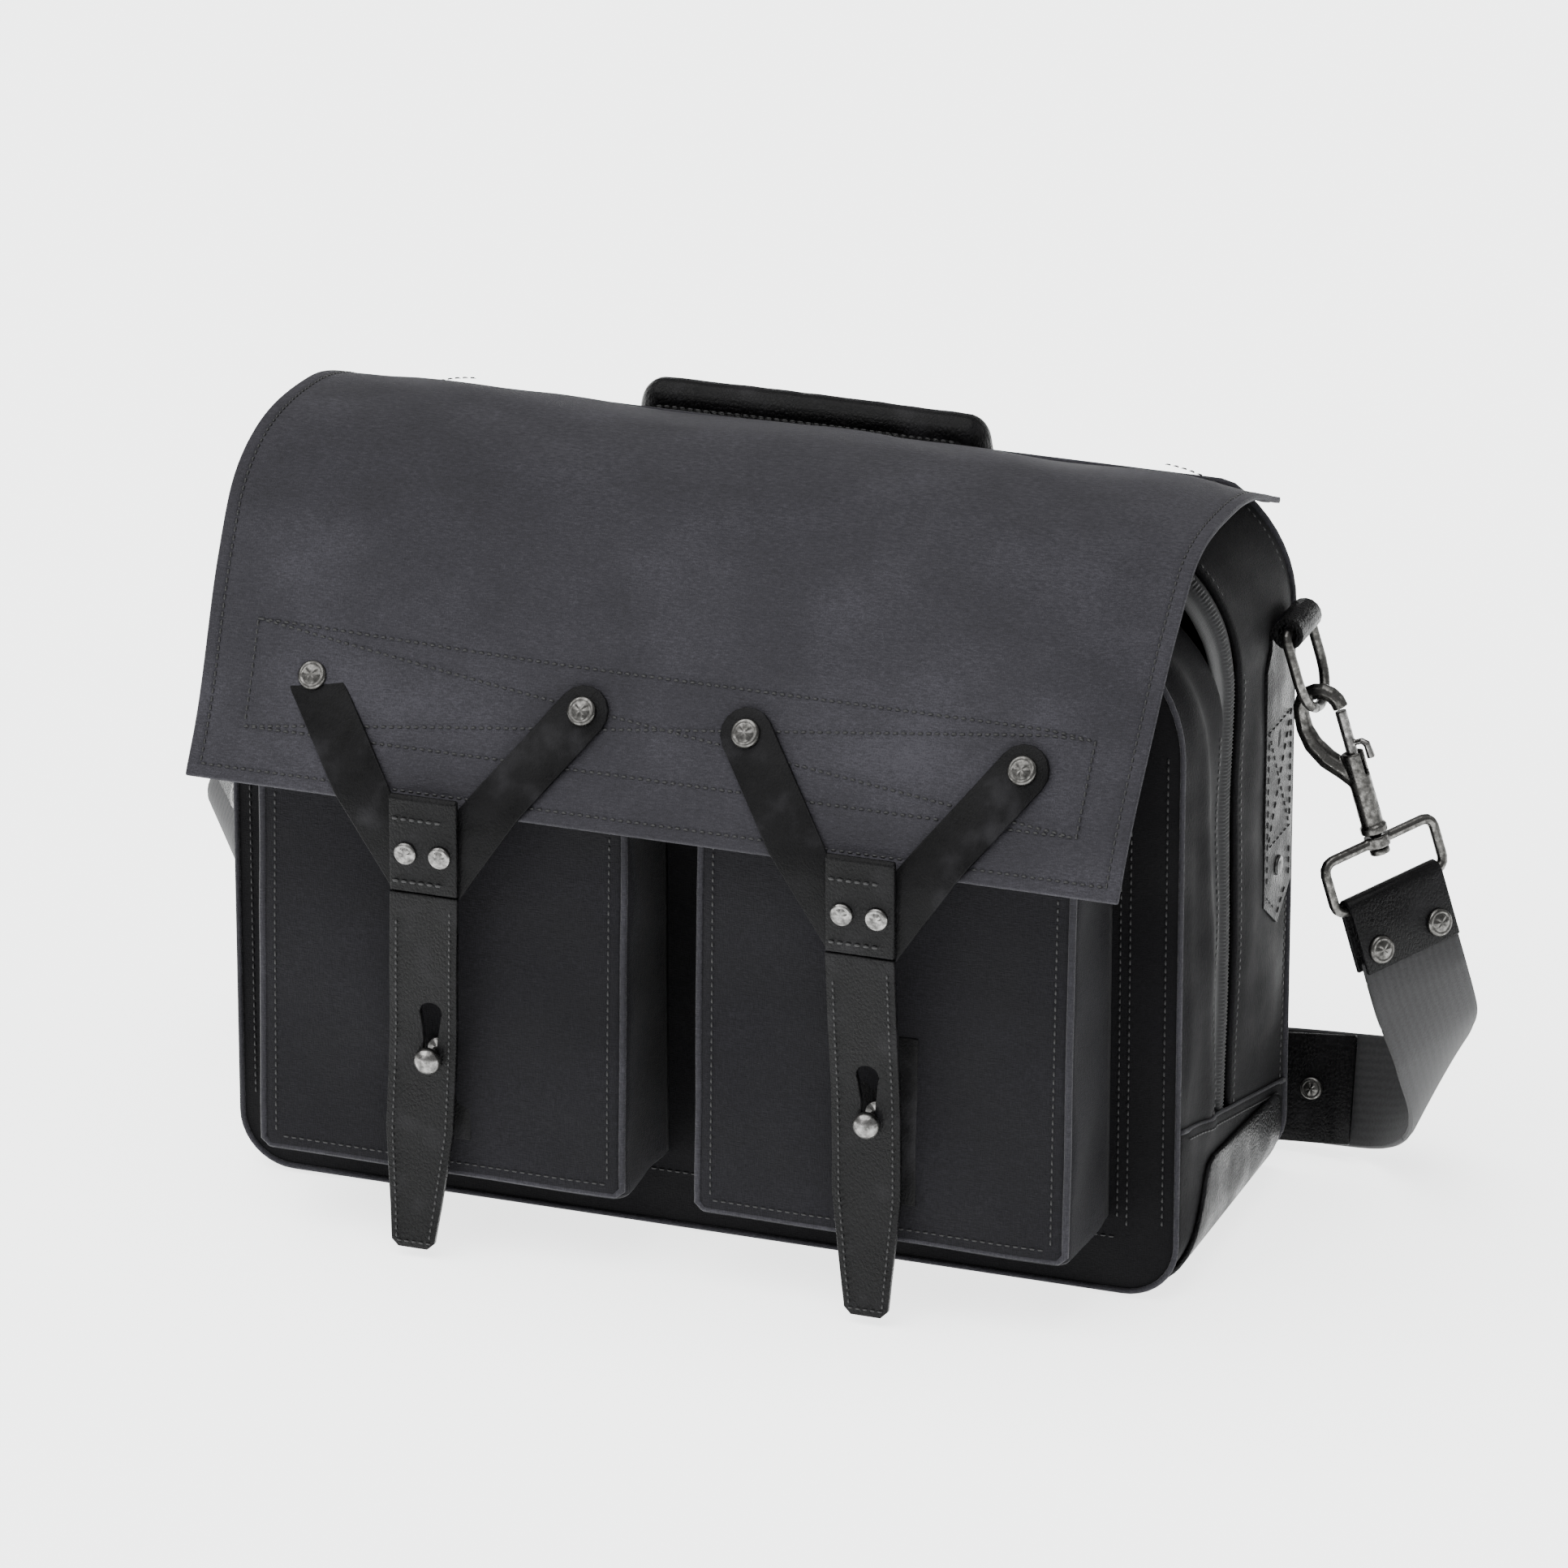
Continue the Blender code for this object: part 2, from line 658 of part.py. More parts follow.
# ---- Side hardware ----------------------------------------------------------
def side_frame(name, side):
    """Turns hardware coordinates (out, along the loop, down) into the bag's own."""
    lean = LEAN[name]
    out = Vector((side * math.cos(lean), 0, math.sin(lean)))
    down = Vector((side * math.sin(lean), 0, -math.cos(lean)))
    origin = Vector((side * LOOP.x, LOOP.y, LOOP.z))
    turn = Matrix((out, down.cross(out), down)).transposed().to_4x4()
    return Matrix.Translation(origin) @ turn


def side_straps():
    foot, waist, top = 0.118, 0.131, 0.2475
    half = 0.018
    for name, side in SIDES:
        outline = [
            (LOOP.y - half, waist), (LOOP.y, foot), (LOOP.y + half, waist), (LOOP.y + half, 0.232),
            (LOOP.y + LOOP_LENGTH / 2, 0.240), (LOOP.y + LOOP_LENGTH / 2, top),
            (LOOP.y - LOOP_LENGTH / 2, top), (LOOP.y - LOOP_LENGTH / 2, 0.240), (LOOP.y - half, 0.232),
        ]
        mesh = flat([outline], LEATHER / 2)
        out = side * (HALF_WIDTH + GAP + LEATHER / 2)
        mesh.transform(Matrix.Translation((out, 0, 0)) @ FACING_SIDE)
        made = place(f"side_strap_{name}", mesh, HIDE)
        outer = arc((side * LOOP.x, LOOP.z), 0.0067, 0, 337.5, 15)
        inner = arc((side * LOOP.x, LOOP.z), 0.0039, 0, 330, 11)
        roll = upright([outer, inner], LOOP.y - LOOP_LENGTH / 2, LOOP.y + LOOP_LENGTH / 2)
        bolt(made, roll, "UNION")


def ring(name, place_in):
    """A D-shaped wire ring, its flat side in the leather loop."""
    straight = LOOP_LENGTH / 2
    knee = RING_RADIUS - straight
    path = [(-straight, 0.0)]
    path += arc((straight, knee), knee, -90, 0, 2)
    path += arc((0, RING_DROP - RING_RADIUS), RING_RADIUS, 0, 180, 10)
    path += arc((-straight, knee), knee, 180, 225, 1)
    points = [(0, y, v) for y, v in path]
    made = place(f"ring_{name}", tube(points, [WIRE] * len(points), 2, closed=True), STEEL)
    made.matrix_world = place_in


def hook(name, place_in):
    """The snap hook: bend, crescent, barrel and the swivel stud."""
    bend = [(x, 0, -z) for x, z in arc((0, 0), BEND_RADIUS, 0, 180, 8)]
    crescent = [
        (-0.0088, 0, 0.006),
        (-0.0072, 0, 0.013),
        (-0.0030, 0, 0.020),
        (0.0030, 0, 0.026),
        (0.0072, 0, 0.032),
    ]
    radii = [0.0034] * len(bend) + [0.0037, 0.0042, 0.0045, 0.0044, 0.0038]
    made = place(f"hook_{name}", tube(bend + crescent, radii, 2), STEEL)
    made.matrix_world = place_in
    profile = [
        (0.0, -0.0190), (0.0047, -0.0190), (0.0047, -0.0500), (0.0056, -0.0505), (0.0056, -0.0535),
        (0.0022, -0.0535), (0.0022, -0.0602), (0.0042, -0.0602), (0.0042, -0.0627), (0.0, -0.0627),
    ]
    barrel = turned(profile)
    barrel.transform(ON_BARREL)
    bolt(made, barrel, "UNION").matrix_world = place_in
    bore = turned([(0.0, -0.0170), (0.00285, -0.0170), (0.00285, -0.0360), (0.0, -0.0360)])
    bore.transform(Matrix.Rotation(math.radians(11.25), 4, "Z"))
    bore.transform(ON_BARREL)
    bolt(made, bore, "DIFFERENCE").matrix_world = place_in
    slot = block((BARREL_OUT + 0.0007, -0.00205, 0.0160), (BARREL_OUT + 0.007, 0.00205, 0.0287))
    bolt(made, slot, "DIFFERENCE").matrix_world = place_in


def gate(name, place_in):
    """The spring bolt with its thumb lever."""
    pin = turned([(0.0, -0.0012), (0.0024, -0.0012), (0.0024, -0.0240), (0.0, -0.0240)], 12)
    pin.transform(ON_BARREL)
    made = place(f"gate_{name}", pin, STEEL)
    made.matrix_world = place_in
    path = [(BARREL_OUT, 0, 0.0155), (0.0132, 0, 0.0150), (0.0150, 0, 0.0165), (0.0154, 0, 0.0225)]
    bolt(made, tube(path, [0.0013, 0.0014, 0.0016, 0.0018], 1), "UNION").matrix_world = place_in


def swivel_frame(name, side, place_in):
    """Strap frame, its leather tab and the tab's rivets, turned about the swivel."""
    turn = Matrix.Translation((BARREL_OUT, 0, 0)) @ Matrix.Rotation(-TURN * side, 4, "Z")
    here = place_in @ turn
    corner = 0.0045
    high, low = FRAME_TOP + corner, FRAME_FOOT - corner
    reach = FRAME_HALF - corner
    path = (
        arc((reach, low), corner, 90, 0, 3) + arc((reach, high), corner, 0, -90, 3)
        + arc((-reach, high), corner, -90, -180, 3) + arc((-reach, low), corner, 180, 90, 3)
    )
    wire = tube([(x, 0, v) for x, v in path], [WIRE] * len(path), 2, closed=True)
    made = place(f"strap_frame_{name}", wire, STEEL)
    made.matrix_world = here
    boss = turned([(0.0, 0.0025), (0.0052, 0.0025), (0.0052, -0.0025), (0.0, -0.0025)])
    boss.transform(Matrix.Translation((0, 0, FRAME_TOP)))
    bolt(made, boss, "UNION").matrix_world = here
    eye = turned([(0.0, 0.0060), (0.0026, 0.0060), (0.0026, -0.0060), (0.0, -0.0060)])
    eye.transform(Matrix.Translation((0, 0, FRAME_TOP)))
    bolt(made, eye, "DIFFERENCE").matrix_world = here
    inner, outer = WIRE + 0.0005, WIRE + 0.0005 + 0.002
    end = FRAME_FOOT + TAB_DROP
    section = [(outer, end)] + arc((0, FRAME_FOOT), outer, 0, -180, 8) + [(-outer, end), (-inner, end)]
    section += arc((0, FRAME_FOOT), inner, -180, 0, 8) + [(inner, end)]
    tab = flat([section], TAB_HALF)
    tab.transform(FACING_SIDE)
    place(f"strap_tab_{name}", tab, HIDE).matrix_world = here
    for where, way in (("front", -1), ("rear", 1)):
        seat = (way * TAB_RIVET_X, side * (outer + GAP), FRAME_FOOT + TAB_RIVET_DROP)
        made = rivet(f"tab_rivet_{name}_{where}", seat, (0, side, 0), TAB_RIVET_RADIUS)
        made.matrix_world = here @ made.matrix_world


def side_hardware():
    side_straps()
    for name, side in SIDES:
        frame = side_frame(name, side)
        ring(name, frame)
        bend = frame @ Matrix.Translation((0, 0, BEND_DROP))
        hook(name, bend)
        gate(name, bend)
        swivel_frame(name, side, bend)


# ---- Shoulder strap ---------------------------------------------------------
def strap_end(name, side):
    """Where the webbing leaves a tab: its middle, its width and its way down."""
    bend = side_frame(name, side) @ Matrix.Translation((0, 0, BEND_DROP))
    turn = Matrix.Translation((BARREL_OUT, 0, 0)) @ Matrix.Rotation(-TURN * side, 4, "Z")
    here = bend @ turn
    start = here @ Vector((0, 0, FRAME_FOOT + TAB_DROP - 0.004))
    leave = here @ Vector((0, 0, FRAME_FOOT + TAB_DROP + 0.014))
    across = (here.to_3x3() @ Vector((1, 0, 0))) * side
    return start, leave, across


def strap_stations():
    """Middle and width direction of the webbing, chosen by hand, right end to left end."""
    start, leave, across = strap_end("right", 1)
    stations = [(start, across), (leave, across)]
    stations += [
        (Vector((0.2665, 0.0580, 0.0740)), Vector((0.45, 0.88, 0.15))),
        (Vector((0.2630, 0.0740, 0.0520)), Vector((0.20, 0.92, 0.33))),
        (Vector((0.2520, 0.0900, 0.0350)), Vector((0.08, 0.80, 0.60))),
        (Vector((0.2300, 0.0990, 0.0270)), Vector((0.05, 0.45, 0.89))),
        (Vector((0.1950, 0.0990, 0.0250)), Vector((0.0, 0.22, 0.98))),
        (Vector((0.1500, 0.0940, 0.0245)), Vector((0.0, 0.10, 1.0))),
        (Vector((0.0750, 0.0890, 0.0245)), Vector((0.0, 0.05, 1.0))),
        (Vector((0.0000, 0.0880, 0.0245)), Vector((0.0, 0.03, 1.0))),
        (Vector((-0.0750, 0.0900, 0.0245)), Vector((0.0, 0.05, 1.0))),
        (Vector((-0.1400, 0.0960, 0.0250)), Vector((0.0, 0.15, 0.99))),
        (Vector((-0.1850, 0.1010, 0.0265)), Vector((0.0, 0.45, 0.89))),
        (Vector((-0.2180, 0.0970, 0.0320)), Vector((0.05, 0.85, 0.52))),
        (Vector((-0.2400, 0.0830, 0.0480)), Vector((0.0, 0.97, 0.25))),
        (Vector((-0.2490, 0.0640, 0.0740)), Vector((-0.3, 0.93, 0.15))),
    ]
    start, leave, across = strap_end("left", -1)
    stations += [(leave, -across), (start, -across)]
    return stations


def strap_sections(steps):
    """Middle, width direction and face direction along the smooth strap."""
    stations = strap_stations()
    middles = smooth_path([s[0] for s in stations], steps)
    widths = smooth_path([s[1].normalized() for s in stations], steps)
    sections = []
    for i, (middle, width) in enumerate(zip(middles, widths)):
        along = (middles[min(i + 1, len(middles) - 1)] - middles[max(i - 1, 0)]).normalized()
        width = (width - along * width.dot(along)).normalized()
        sections.append((middle, width, along.cross(width)))
    return sections


def strip(name, sections, width, low, high, finish):
    """A closed band whose faces are low and high above the sections' own face."""
    form = bmesh.new()
    rings = []
    for middle, across, face in sections:
        half = across * (width / 2)
        corners = [middle - half + face * low, middle + half + face * low,
                   middle + half + face * high, middle - half + face * high]
        rings.append([form.verts.new(c) for c in corners])
    for a, b in zip(rings, rings[1:]):
        for i in range(4):
            j = (i + 1) % 4
            form.faces.new((a[i], a[j], b[j], b[i]))
    form.faces.new(rings[0][::-1])
    form.faces.new(rings[-1])
    bmesh.ops.recalc_face_normals(form, faces=form.faces)
    mesh = bpy.data.meshes.new(name)
    form.to_mesh(mesh)
    form.free()
    return place(name, mesh, finish)


def strap():
    sections = strap_sections(4)
    strip("strap_webbing", sections, WEB_WIDTH, -WEB_THICKNESS / 2, WEB_THICKNESS / 2, WEB)
    first, last = 21, 26
    face = -WEB_THICKNESS / 2 - KEEPER_GAP
    strip("strap_keeper", sections[first:last + 1], WEB_WIDTH, face - 0.002, face, HIDE)
    middle, _, facing = sections[first + 2]
    seat = middle + facing * (face - 0.002 - 4 * GAP)
    rivet("keeper_rivet", seat, -facing, SMALL_RIVET_RADIUS)


body_panels()
gussets()
zips()
base()
flap()
yokes()
pockets()
handle()
side_hardware()
strap()
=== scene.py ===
"""Looks for a waxed-canvas messenger bag with leather trim and antique nickel hardware.

Metres, +X to the right seen from the front, -Y to the front, +Z up, as in the CAD frame.
"""
import json
import math

import bmesh
import bpy
import numpy as np
from mathutils import Matrix, Vector, noise


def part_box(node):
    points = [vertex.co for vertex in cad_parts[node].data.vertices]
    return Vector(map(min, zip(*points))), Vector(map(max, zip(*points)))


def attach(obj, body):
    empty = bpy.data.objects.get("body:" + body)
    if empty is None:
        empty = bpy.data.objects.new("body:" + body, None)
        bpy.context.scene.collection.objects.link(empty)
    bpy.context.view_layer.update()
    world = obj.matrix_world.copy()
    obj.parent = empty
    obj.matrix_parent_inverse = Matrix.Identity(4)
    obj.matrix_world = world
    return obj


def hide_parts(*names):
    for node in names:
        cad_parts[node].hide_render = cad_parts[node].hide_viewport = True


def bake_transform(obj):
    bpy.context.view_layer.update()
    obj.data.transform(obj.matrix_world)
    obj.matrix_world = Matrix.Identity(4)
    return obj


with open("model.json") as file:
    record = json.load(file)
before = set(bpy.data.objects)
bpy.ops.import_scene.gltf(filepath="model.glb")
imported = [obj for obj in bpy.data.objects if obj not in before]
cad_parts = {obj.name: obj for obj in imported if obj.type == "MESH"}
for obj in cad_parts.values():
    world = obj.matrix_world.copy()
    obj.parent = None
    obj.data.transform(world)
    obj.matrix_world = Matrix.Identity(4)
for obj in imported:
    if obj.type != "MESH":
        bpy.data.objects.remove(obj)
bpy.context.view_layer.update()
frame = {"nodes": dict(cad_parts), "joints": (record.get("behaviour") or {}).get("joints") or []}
JOINTS = {joint["name"]: joint for joint in frame["joints"]}
SIDES = (("left", -1), ("right", 1))
FORWARD, BACKWARD = (0, -1, 0), (0, 1, 0)
FINE = 0.00034   # radius of the canvas thread
ARMS = ("inner", "outer")

# Sizes from the frame
FRONT_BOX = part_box("front_panel")
BACK_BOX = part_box("back_panel")
HALF = FRONT_BOX[1][0]
FRONT_Y = FRONT_BOX[0][1]
BACK_Y = BACK_BOX[1][1]
FOOT = FRONT_BOX[0][2]
FRONT_TOP = FRONT_BOX[1][2]
BACK_TOP = BACK_BOX[1][2]
TOP_RADIUS = 0.055
CORNER_STEPS = 14
FOOT_RADIUS = 0.022
CLOTH = 0.003
NODE_WELD, OUTLINE_WELD = 0.00002, 0.00001


# ---- Helpers ----------------------------------------------------------------
def put(node, **values):
    """Sets a node's own sockets by name, with _ for a space."""
    for name, value in values.items():
        node.inputs[name.replace("_", " ")].default_value = value


def shown(name, data):
    made = bpy.data.objects.new(name, data)
    bpy.context.scene.collection.objects.link(made)
    return made


def middle_of(node):
    return [(a + b) / 2 for a, b in zip(*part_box(node))]


def faced(path, way):
    """A stitch row whose outward side is the same all along."""
    return path, [way] * len(path)


def walls(form, pairs):
    """Faces between each pair of rings of corners."""
    for a, b in pairs:
        for t in range(len(a)):
            n = (t + 1) % len(a)
            form.faces.new((a[t], a[n], b[n], b[t]))


def ends(form, rings):
    form.faces.new(rings[0][::-1])
    form.faces.new(rings[-1])


def welded(mesh, distance):
    """A mesh to edit, with its doubled corners joined."""
    form = bmesh.new()
    form.from_mesh(mesh)
    bmesh.ops.remove_doubles(form, verts=form.verts, dist=distance)
    return form


def sliced(form, axis, levels):
    """Cuts across an axis, so that the form can bend there."""
    for level in levels:
        spot, facing = [0, 0, 0], [0, 0, 0]
        spot[axis], facing[axis] = level, 1
        everything = form.verts[:] + form.edges[:] + form.faces[:]
        bmesh.ops.bisect_plane(form, geom=everything, plane_co=spot, plane_no=facing)


# ---- Materials --------------------------------------------------------------
def shader_of(name, colour, roughness, metallic=0.0):
    made = bpy.data.materials.new(name)
    made.use_nodes = True
    shader = made.node_tree.nodes["Principled BSDF"]
    put(shader, Base_Color=(*colour, 1.0), Roughness=roughness, Metallic=metallic)
    made.diffuse_color = (*colour, 1.0)
    return made, made.node_tree, shader


def texture(tree, kind, scale, stretch=(1, 1, 1), turn=(0, 0, 0), detail=3.0):
    """A 3-D texture in the object's own metres, stretched along its axes."""
    place = tree.nodes.new("ShaderNodeTexCoord")
    mapping = tree.nodes.new("ShaderNodeMapping")
    put(mapping, Scale=stretch, Rotation=turn)
    tree.links.new(place.outputs["Object"], mapping.inputs["Vector"])
    made = tree.nodes.new(kind)
    put(made, Scale=scale)
    if "Detail" in made.inputs:
        put(made, Detail=detail)
    tree.links.new(mapping.outputs["Vector"], made.inputs["Vector"])
    return made


def ramp(tree, source, stops):
    made = tree.nodes.new("ShaderNodeValToRGB")
    made.color_ramp.elements[0].position = stops[0][0]
    made.color_ramp.elements[0].color = (*stops[0][1], 1.0)
    made.color_ramp.elements[1].position = stops[-1][0]
    made.color_ramp.elements[1].color = (*stops[-1][1], 1.0)
    for position, colour in stops[1:-1]:
        made.color_ramp.elements.new(position).color = (*colour, 1.0)
    tree.links.new(source, made.inputs["Fac"])
    return made.outputs["Color"]


def add(tree, first, second, factor=1.0):
    made = tree.nodes.new("ShaderNodeMath")
    made.operation = "MULTIPLY_ADD"
    tree.links.new(second, made.inputs[0])
    made.inputs[1].default_value = factor
    tree.links.new(first, made.inputs[2])
    return made.outputs[0]


def scaled(tree, source, factor):
    made = tree.nodes.new("ShaderNodeMath")
    made.operation = "MULTIPLY"
    tree.links.new(source, made.inputs[0])
    made.inputs[1].default_value = factor
    return made.outputs[0]


def bump(tree, shader, height, strength, distance):
    made = tree.nodes.new("ShaderNodeBump")
    made.inputs["Strength"].default_value = strength
    made.inputs["Distance"].default_value = distance
    tree.links.new(height, made.inputs["Height"])
    tree.links.new(made.outputs["Normal"], shader.inputs["Normal"])


def tint(colour, factor):
    return tuple(channel * factor for channel in colour)


def canvas(name, colour, sheen=0.25):
    """Waxed canvas: two thread directions, mottled wax, and broad soft patches that are partly tone and
    partly painted shade of wrinkles.
    """
    made, tree, shader = shader_of(name, colour, 0.72)
    put(shader, Specular_IOR_Level=0.07, Sheen_Weight=sheen, Sheen_Roughness=0.40)
    warp = texture(tree, "ShaderNodeTexNoise", 1.0, (2600, 2600, 420), detail=1.0)
    weft = texture(tree, "ShaderNodeTexNoise", 1.0, (420, 700, 2600), detail=1.0)
    threads = scaled(tree, add(tree, warp.outputs["Fac"], weft.outputs["Fac"]), 0.40)
    wax = texture(tree, "ShaderNodeTexNoise", 26.0, (1, 1, 1.4), (0.3, 0.2, 0.6), detail=6.0)
    # Broad lighter and darker patches: partly the canvas's own uneven tone, partly painted shade that stands
    # in for the flap's soft wrinkles.
    broad_tone_and_crease_shade = texture(tree, "ShaderNodeTexNoise", 9.0, (1, 1, 1.6), (0.1, 0.4, 0.5), detail=3.0)
    mixed = add(tree, add(tree, threads, wax.outputs["Fac"], 0.40), broad_tone_and_crease_shade.outputs["Fac"], 0.40)
    stops = [(0.50, tint(colour, 0.50)), (0.80, colour), (1.0, tint(colour, 1.7))]
    tree.links.new(ramp(tree, mixed, stops), shader.inputs["Base Color"])
    rough = [(0.30, (0.60,) * 3), (0.70, (0.86,) * 3)]
    tree.links.new(ramp(tree, wax.outputs["Fac"], rough), shader.inputs["Roughness"])
    bump(tree, shader, threads, 0.90, 0.0008)
    return made


def hide(name, colour, roughness, crackle=0.5, coat=0.25):
    """Black leather: pores, fine crackle, and worn patches whose lighter colour is partly wear and partly
    painted sheen.
    """
    made, tree, shader = shader_of(name, colour, roughness)
    put(shader, Specular_IOR_Level=0.06, Coat_Weight=coat, Coat_Roughness=0.22)
    wear_and_painted_sheen = texture(tree, "ShaderNodeTexNoise", 60.0, (1, 1, 1), detail=7.0)
    cells = texture(tree, "ShaderNodeTexVoronoi", 620.0, (1.0, 1.0, 0.7), (0.4, 0.1, 0.3))
    cells.feature = "DISTANCE_TO_EDGE"
    pores = texture(tree, "ShaderNodeTexNoise", 1900.0, detail=2.0)
    # Lighter, rougher patches: partly real wear, partly painted sheen that stands in for the leather's small
    # highlights.
    stops = [(0.38, tint(colour, 0.45)), (0.56, colour), (0.74, tint(colour, 3.4))]
    tree.links.new(ramp(tree, wear_and_painted_sheen.outputs["Fac"], stops), shader.inputs["Base Color"])
    low, high = max(roughness - 0.12, 0.1), roughness + 0.20
    rough = [(0.35, (low,) * 3), (0.68, (high,) * 3)]
    tree.links.new(ramp(tree, wear_and_painted_sheen.outputs["Fac"], rough), shader.inputs["Roughness"])
    edges = ramp(tree, cells.outputs["Distance"], [(0.0, (0, 0, 0)), (0.16, (1, 1, 1))])
    grain = add(tree, pores.outputs["Fac"], edges, crackle)
    bump(tree, shader, grain, 0.80, 0.00045)
    return made


def nickel(name, colour, roughness):
    """Antique nickel: dark in its pits, worn bright where hands touch."""
    made, tree, shader = shader_of(name, colour, roughness, 1.0)
    patina = texture(tree, "ShaderNodeTexNoise", 420.0, detail=8.0)
    pits = texture(tree, "ShaderNodeTexNoise", 1500.0, detail=3.0)
    mixed = add(tree, patina.outputs["Fac"], pits.outputs["Fac"], 0.35)
    stops = [(0.50, tint(colour, 0.50)), (0.68, colour), (0.88, tint(colour, 1.7))]
    tree.links.new(ramp(tree, mixed, stops), shader.inputs["Base Color"])
    rough = [(0.50, (roughness + 0.18,) * 3), (0.85, (roughness - 0.10,) * 3)]
    tree.links.new(ramp(tree, mixed, rough), shader.inputs["Roughness"])
    bump(tree, shader, mixed, 0.30, 0.00015)
    return made


def ribbed(name, colour, pitch, across, along=(900, 900, 900)):
    """Webbing or tape: ribs across the strip from its UV, with fibres over them."""
    made, tree, shader = shader_of(name, colour, 0.80)
    put(shader, Sheen_Weight=0.10)
    place = tree.nodes.new("ShaderNodeTexCoord")
    waves = []
    for direction, count in (("X", across), ("Y", pitch)):
        wave = tree.nodes.new("ShaderNodeTexWave")
        wave.bands_direction = direction
        put(wave, Scale=count, Distortion=0.6)
        tree.links.new(place.outputs["UV"], wave.inputs["Vector"])
        waves.append(wave.outputs["Fac"])
    weave = add(tree, waves[0], waves[1])
    fibre = texture(tree, "ShaderNodeTexNoise", 1.0, along, detail=4.0)
    mixed = add(tree, fibre.outputs["Fac"], weave, 0.25)
    stops = [(0.35, tint(colour, 0.5)), (0.65, colour), (0.95, tint(colour, 1.8))]
    tree.links.new(ramp(tree, mixed, stops), shader.inputs["Base Color"])
    bump(tree, shader, mixed, 0.6, 0.0003)
    return made


def plain(name, colour, roughness, scale, spread=0.35):
    made, tree, shader = shader_of(name, colour, roughness)
    mottle = texture(tree, "ShaderNodeTexNoise", scale, detail=6.0)
    stops = [(0.3, tint(colour, 1 - spread)), (0.7, tint(colour, 1 + spread))]
    tree.links.new(ramp(tree, mottle.outputs["Fac"], stops), shader.inputs["Base Color"])
    bump(tree, shader, mottle.outputs["Fac"], 0.3, 0.0003)
    return made


# One waxed canvas in lit and shaded copies: the flap's is the brightest tone, while the body's and the
# pockets' much darker copies are painted shade for the front, sides and base that face away from the light.
FLAP_CANVAS = canvas("flap_canvas", (0.0255, 0.0247, 0.0290), 0.07)
SHADED_BODY_CANVAS = canvas("body_canvas_painted_shade", (0.0030, 0.0029, 0.0034), 0.02)
SHADED_POCKET_CANVAS = canvas("pocket_canvas_painted_shade", (0.0072, 0.0070, 0.0083), 0.04)
GLOSSY = hide("glossy_leather", (0.0030, 0.0029, 0.0032), 0.27, 0.9, 0.08)
SMOOTH = hide("smooth_leather", (0.0042, 0.0041, 0.0045), 0.40, 0.40, 0.04)
CRACKED = hide("cracked_leather", (0.0032, 0.0031, 0.0034), 0.36, 1.4, 0.06)
NICKEL = nickel("antique_nickel_worn", (0.085, 0.083, 0.079), 0.30)
BRIGHT = nickel("antique_nickel_rivet", (0.150, 0.147, 0.143), 0.28)
DARK = nickel("blackened_rivet", (0.05, 0.05, 0.05), 0.40)
WEBBING = ribbed("ribbed_webbing", (0.0085, 0.0084, 0.0092), 90.0, 9.0)
ZIP_TAPE = ribbed("zip_tape_weave", (0.0070, 0.0070, 0.0076), 150.0, 4.0)
THREAD = plain("waxed_thread", (0.0035, 0.0035, 0.0038), 0.55, 900.0)
LINING = canvas("grey_lining_cloth", (0.085, 0.085, 0.095), 0.1)
BOARD = plain("fibre_board", (0.05, 0.045, 0.04), 0.85, 120.0)
PIPING = canvas("piping_canvas", (0.021, 0.0205, 0.024), 0.10)


# ---- Building ---------------------------------------------------------------
def piece(name, mesh, finish, body, nodes=()):
    """A finished piece in the scene that stands for CAD nodes; with no body it stays unattached."""
    made = shown(name, mesh)
    mesh.materials.clear()
    mesh.materials.append(finish)
    mesh.shade_smooth()
    if body:
        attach(made, body)
    if nodes:
        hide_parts(*nodes)
    return made


def mesh_from(form, name="mesh"):
    bmesh.ops.recalc_face_normals(form, faces=form.faces)
    if form.calc_volume(signed=True) < 0:
        bmesh.ops.reverse_faces(form, faces=form.faces)
    mesh = bpy.data.meshes.new(name)
    form.to_mesh(mesh)
    form.free()
    return mesh


def cloth(node, mesh, finish):
    """A piece of the body's fabric that stands for one node."""
    return piece(f"{node}_cloth", mesh, finish, "root", (node,))


def grid_normals(points):
    """Outward unit normals of a grid of points, by its two directions."""
    down = np.gradient(points, axis=0)
    across = np.gradient(points, axis=1)
    normals = np.cross(down, across)
    return normals / np.maximum(np.linalg.norm(normals, axis=2, keepdims=True), 1e-12)


def run_of(points):
    """Distance along a line of points at each of them."""
    return np.concatenate([[0.0], np.cumsum(np.linalg.norm(np.diff(points, axis=0), axis=1))])


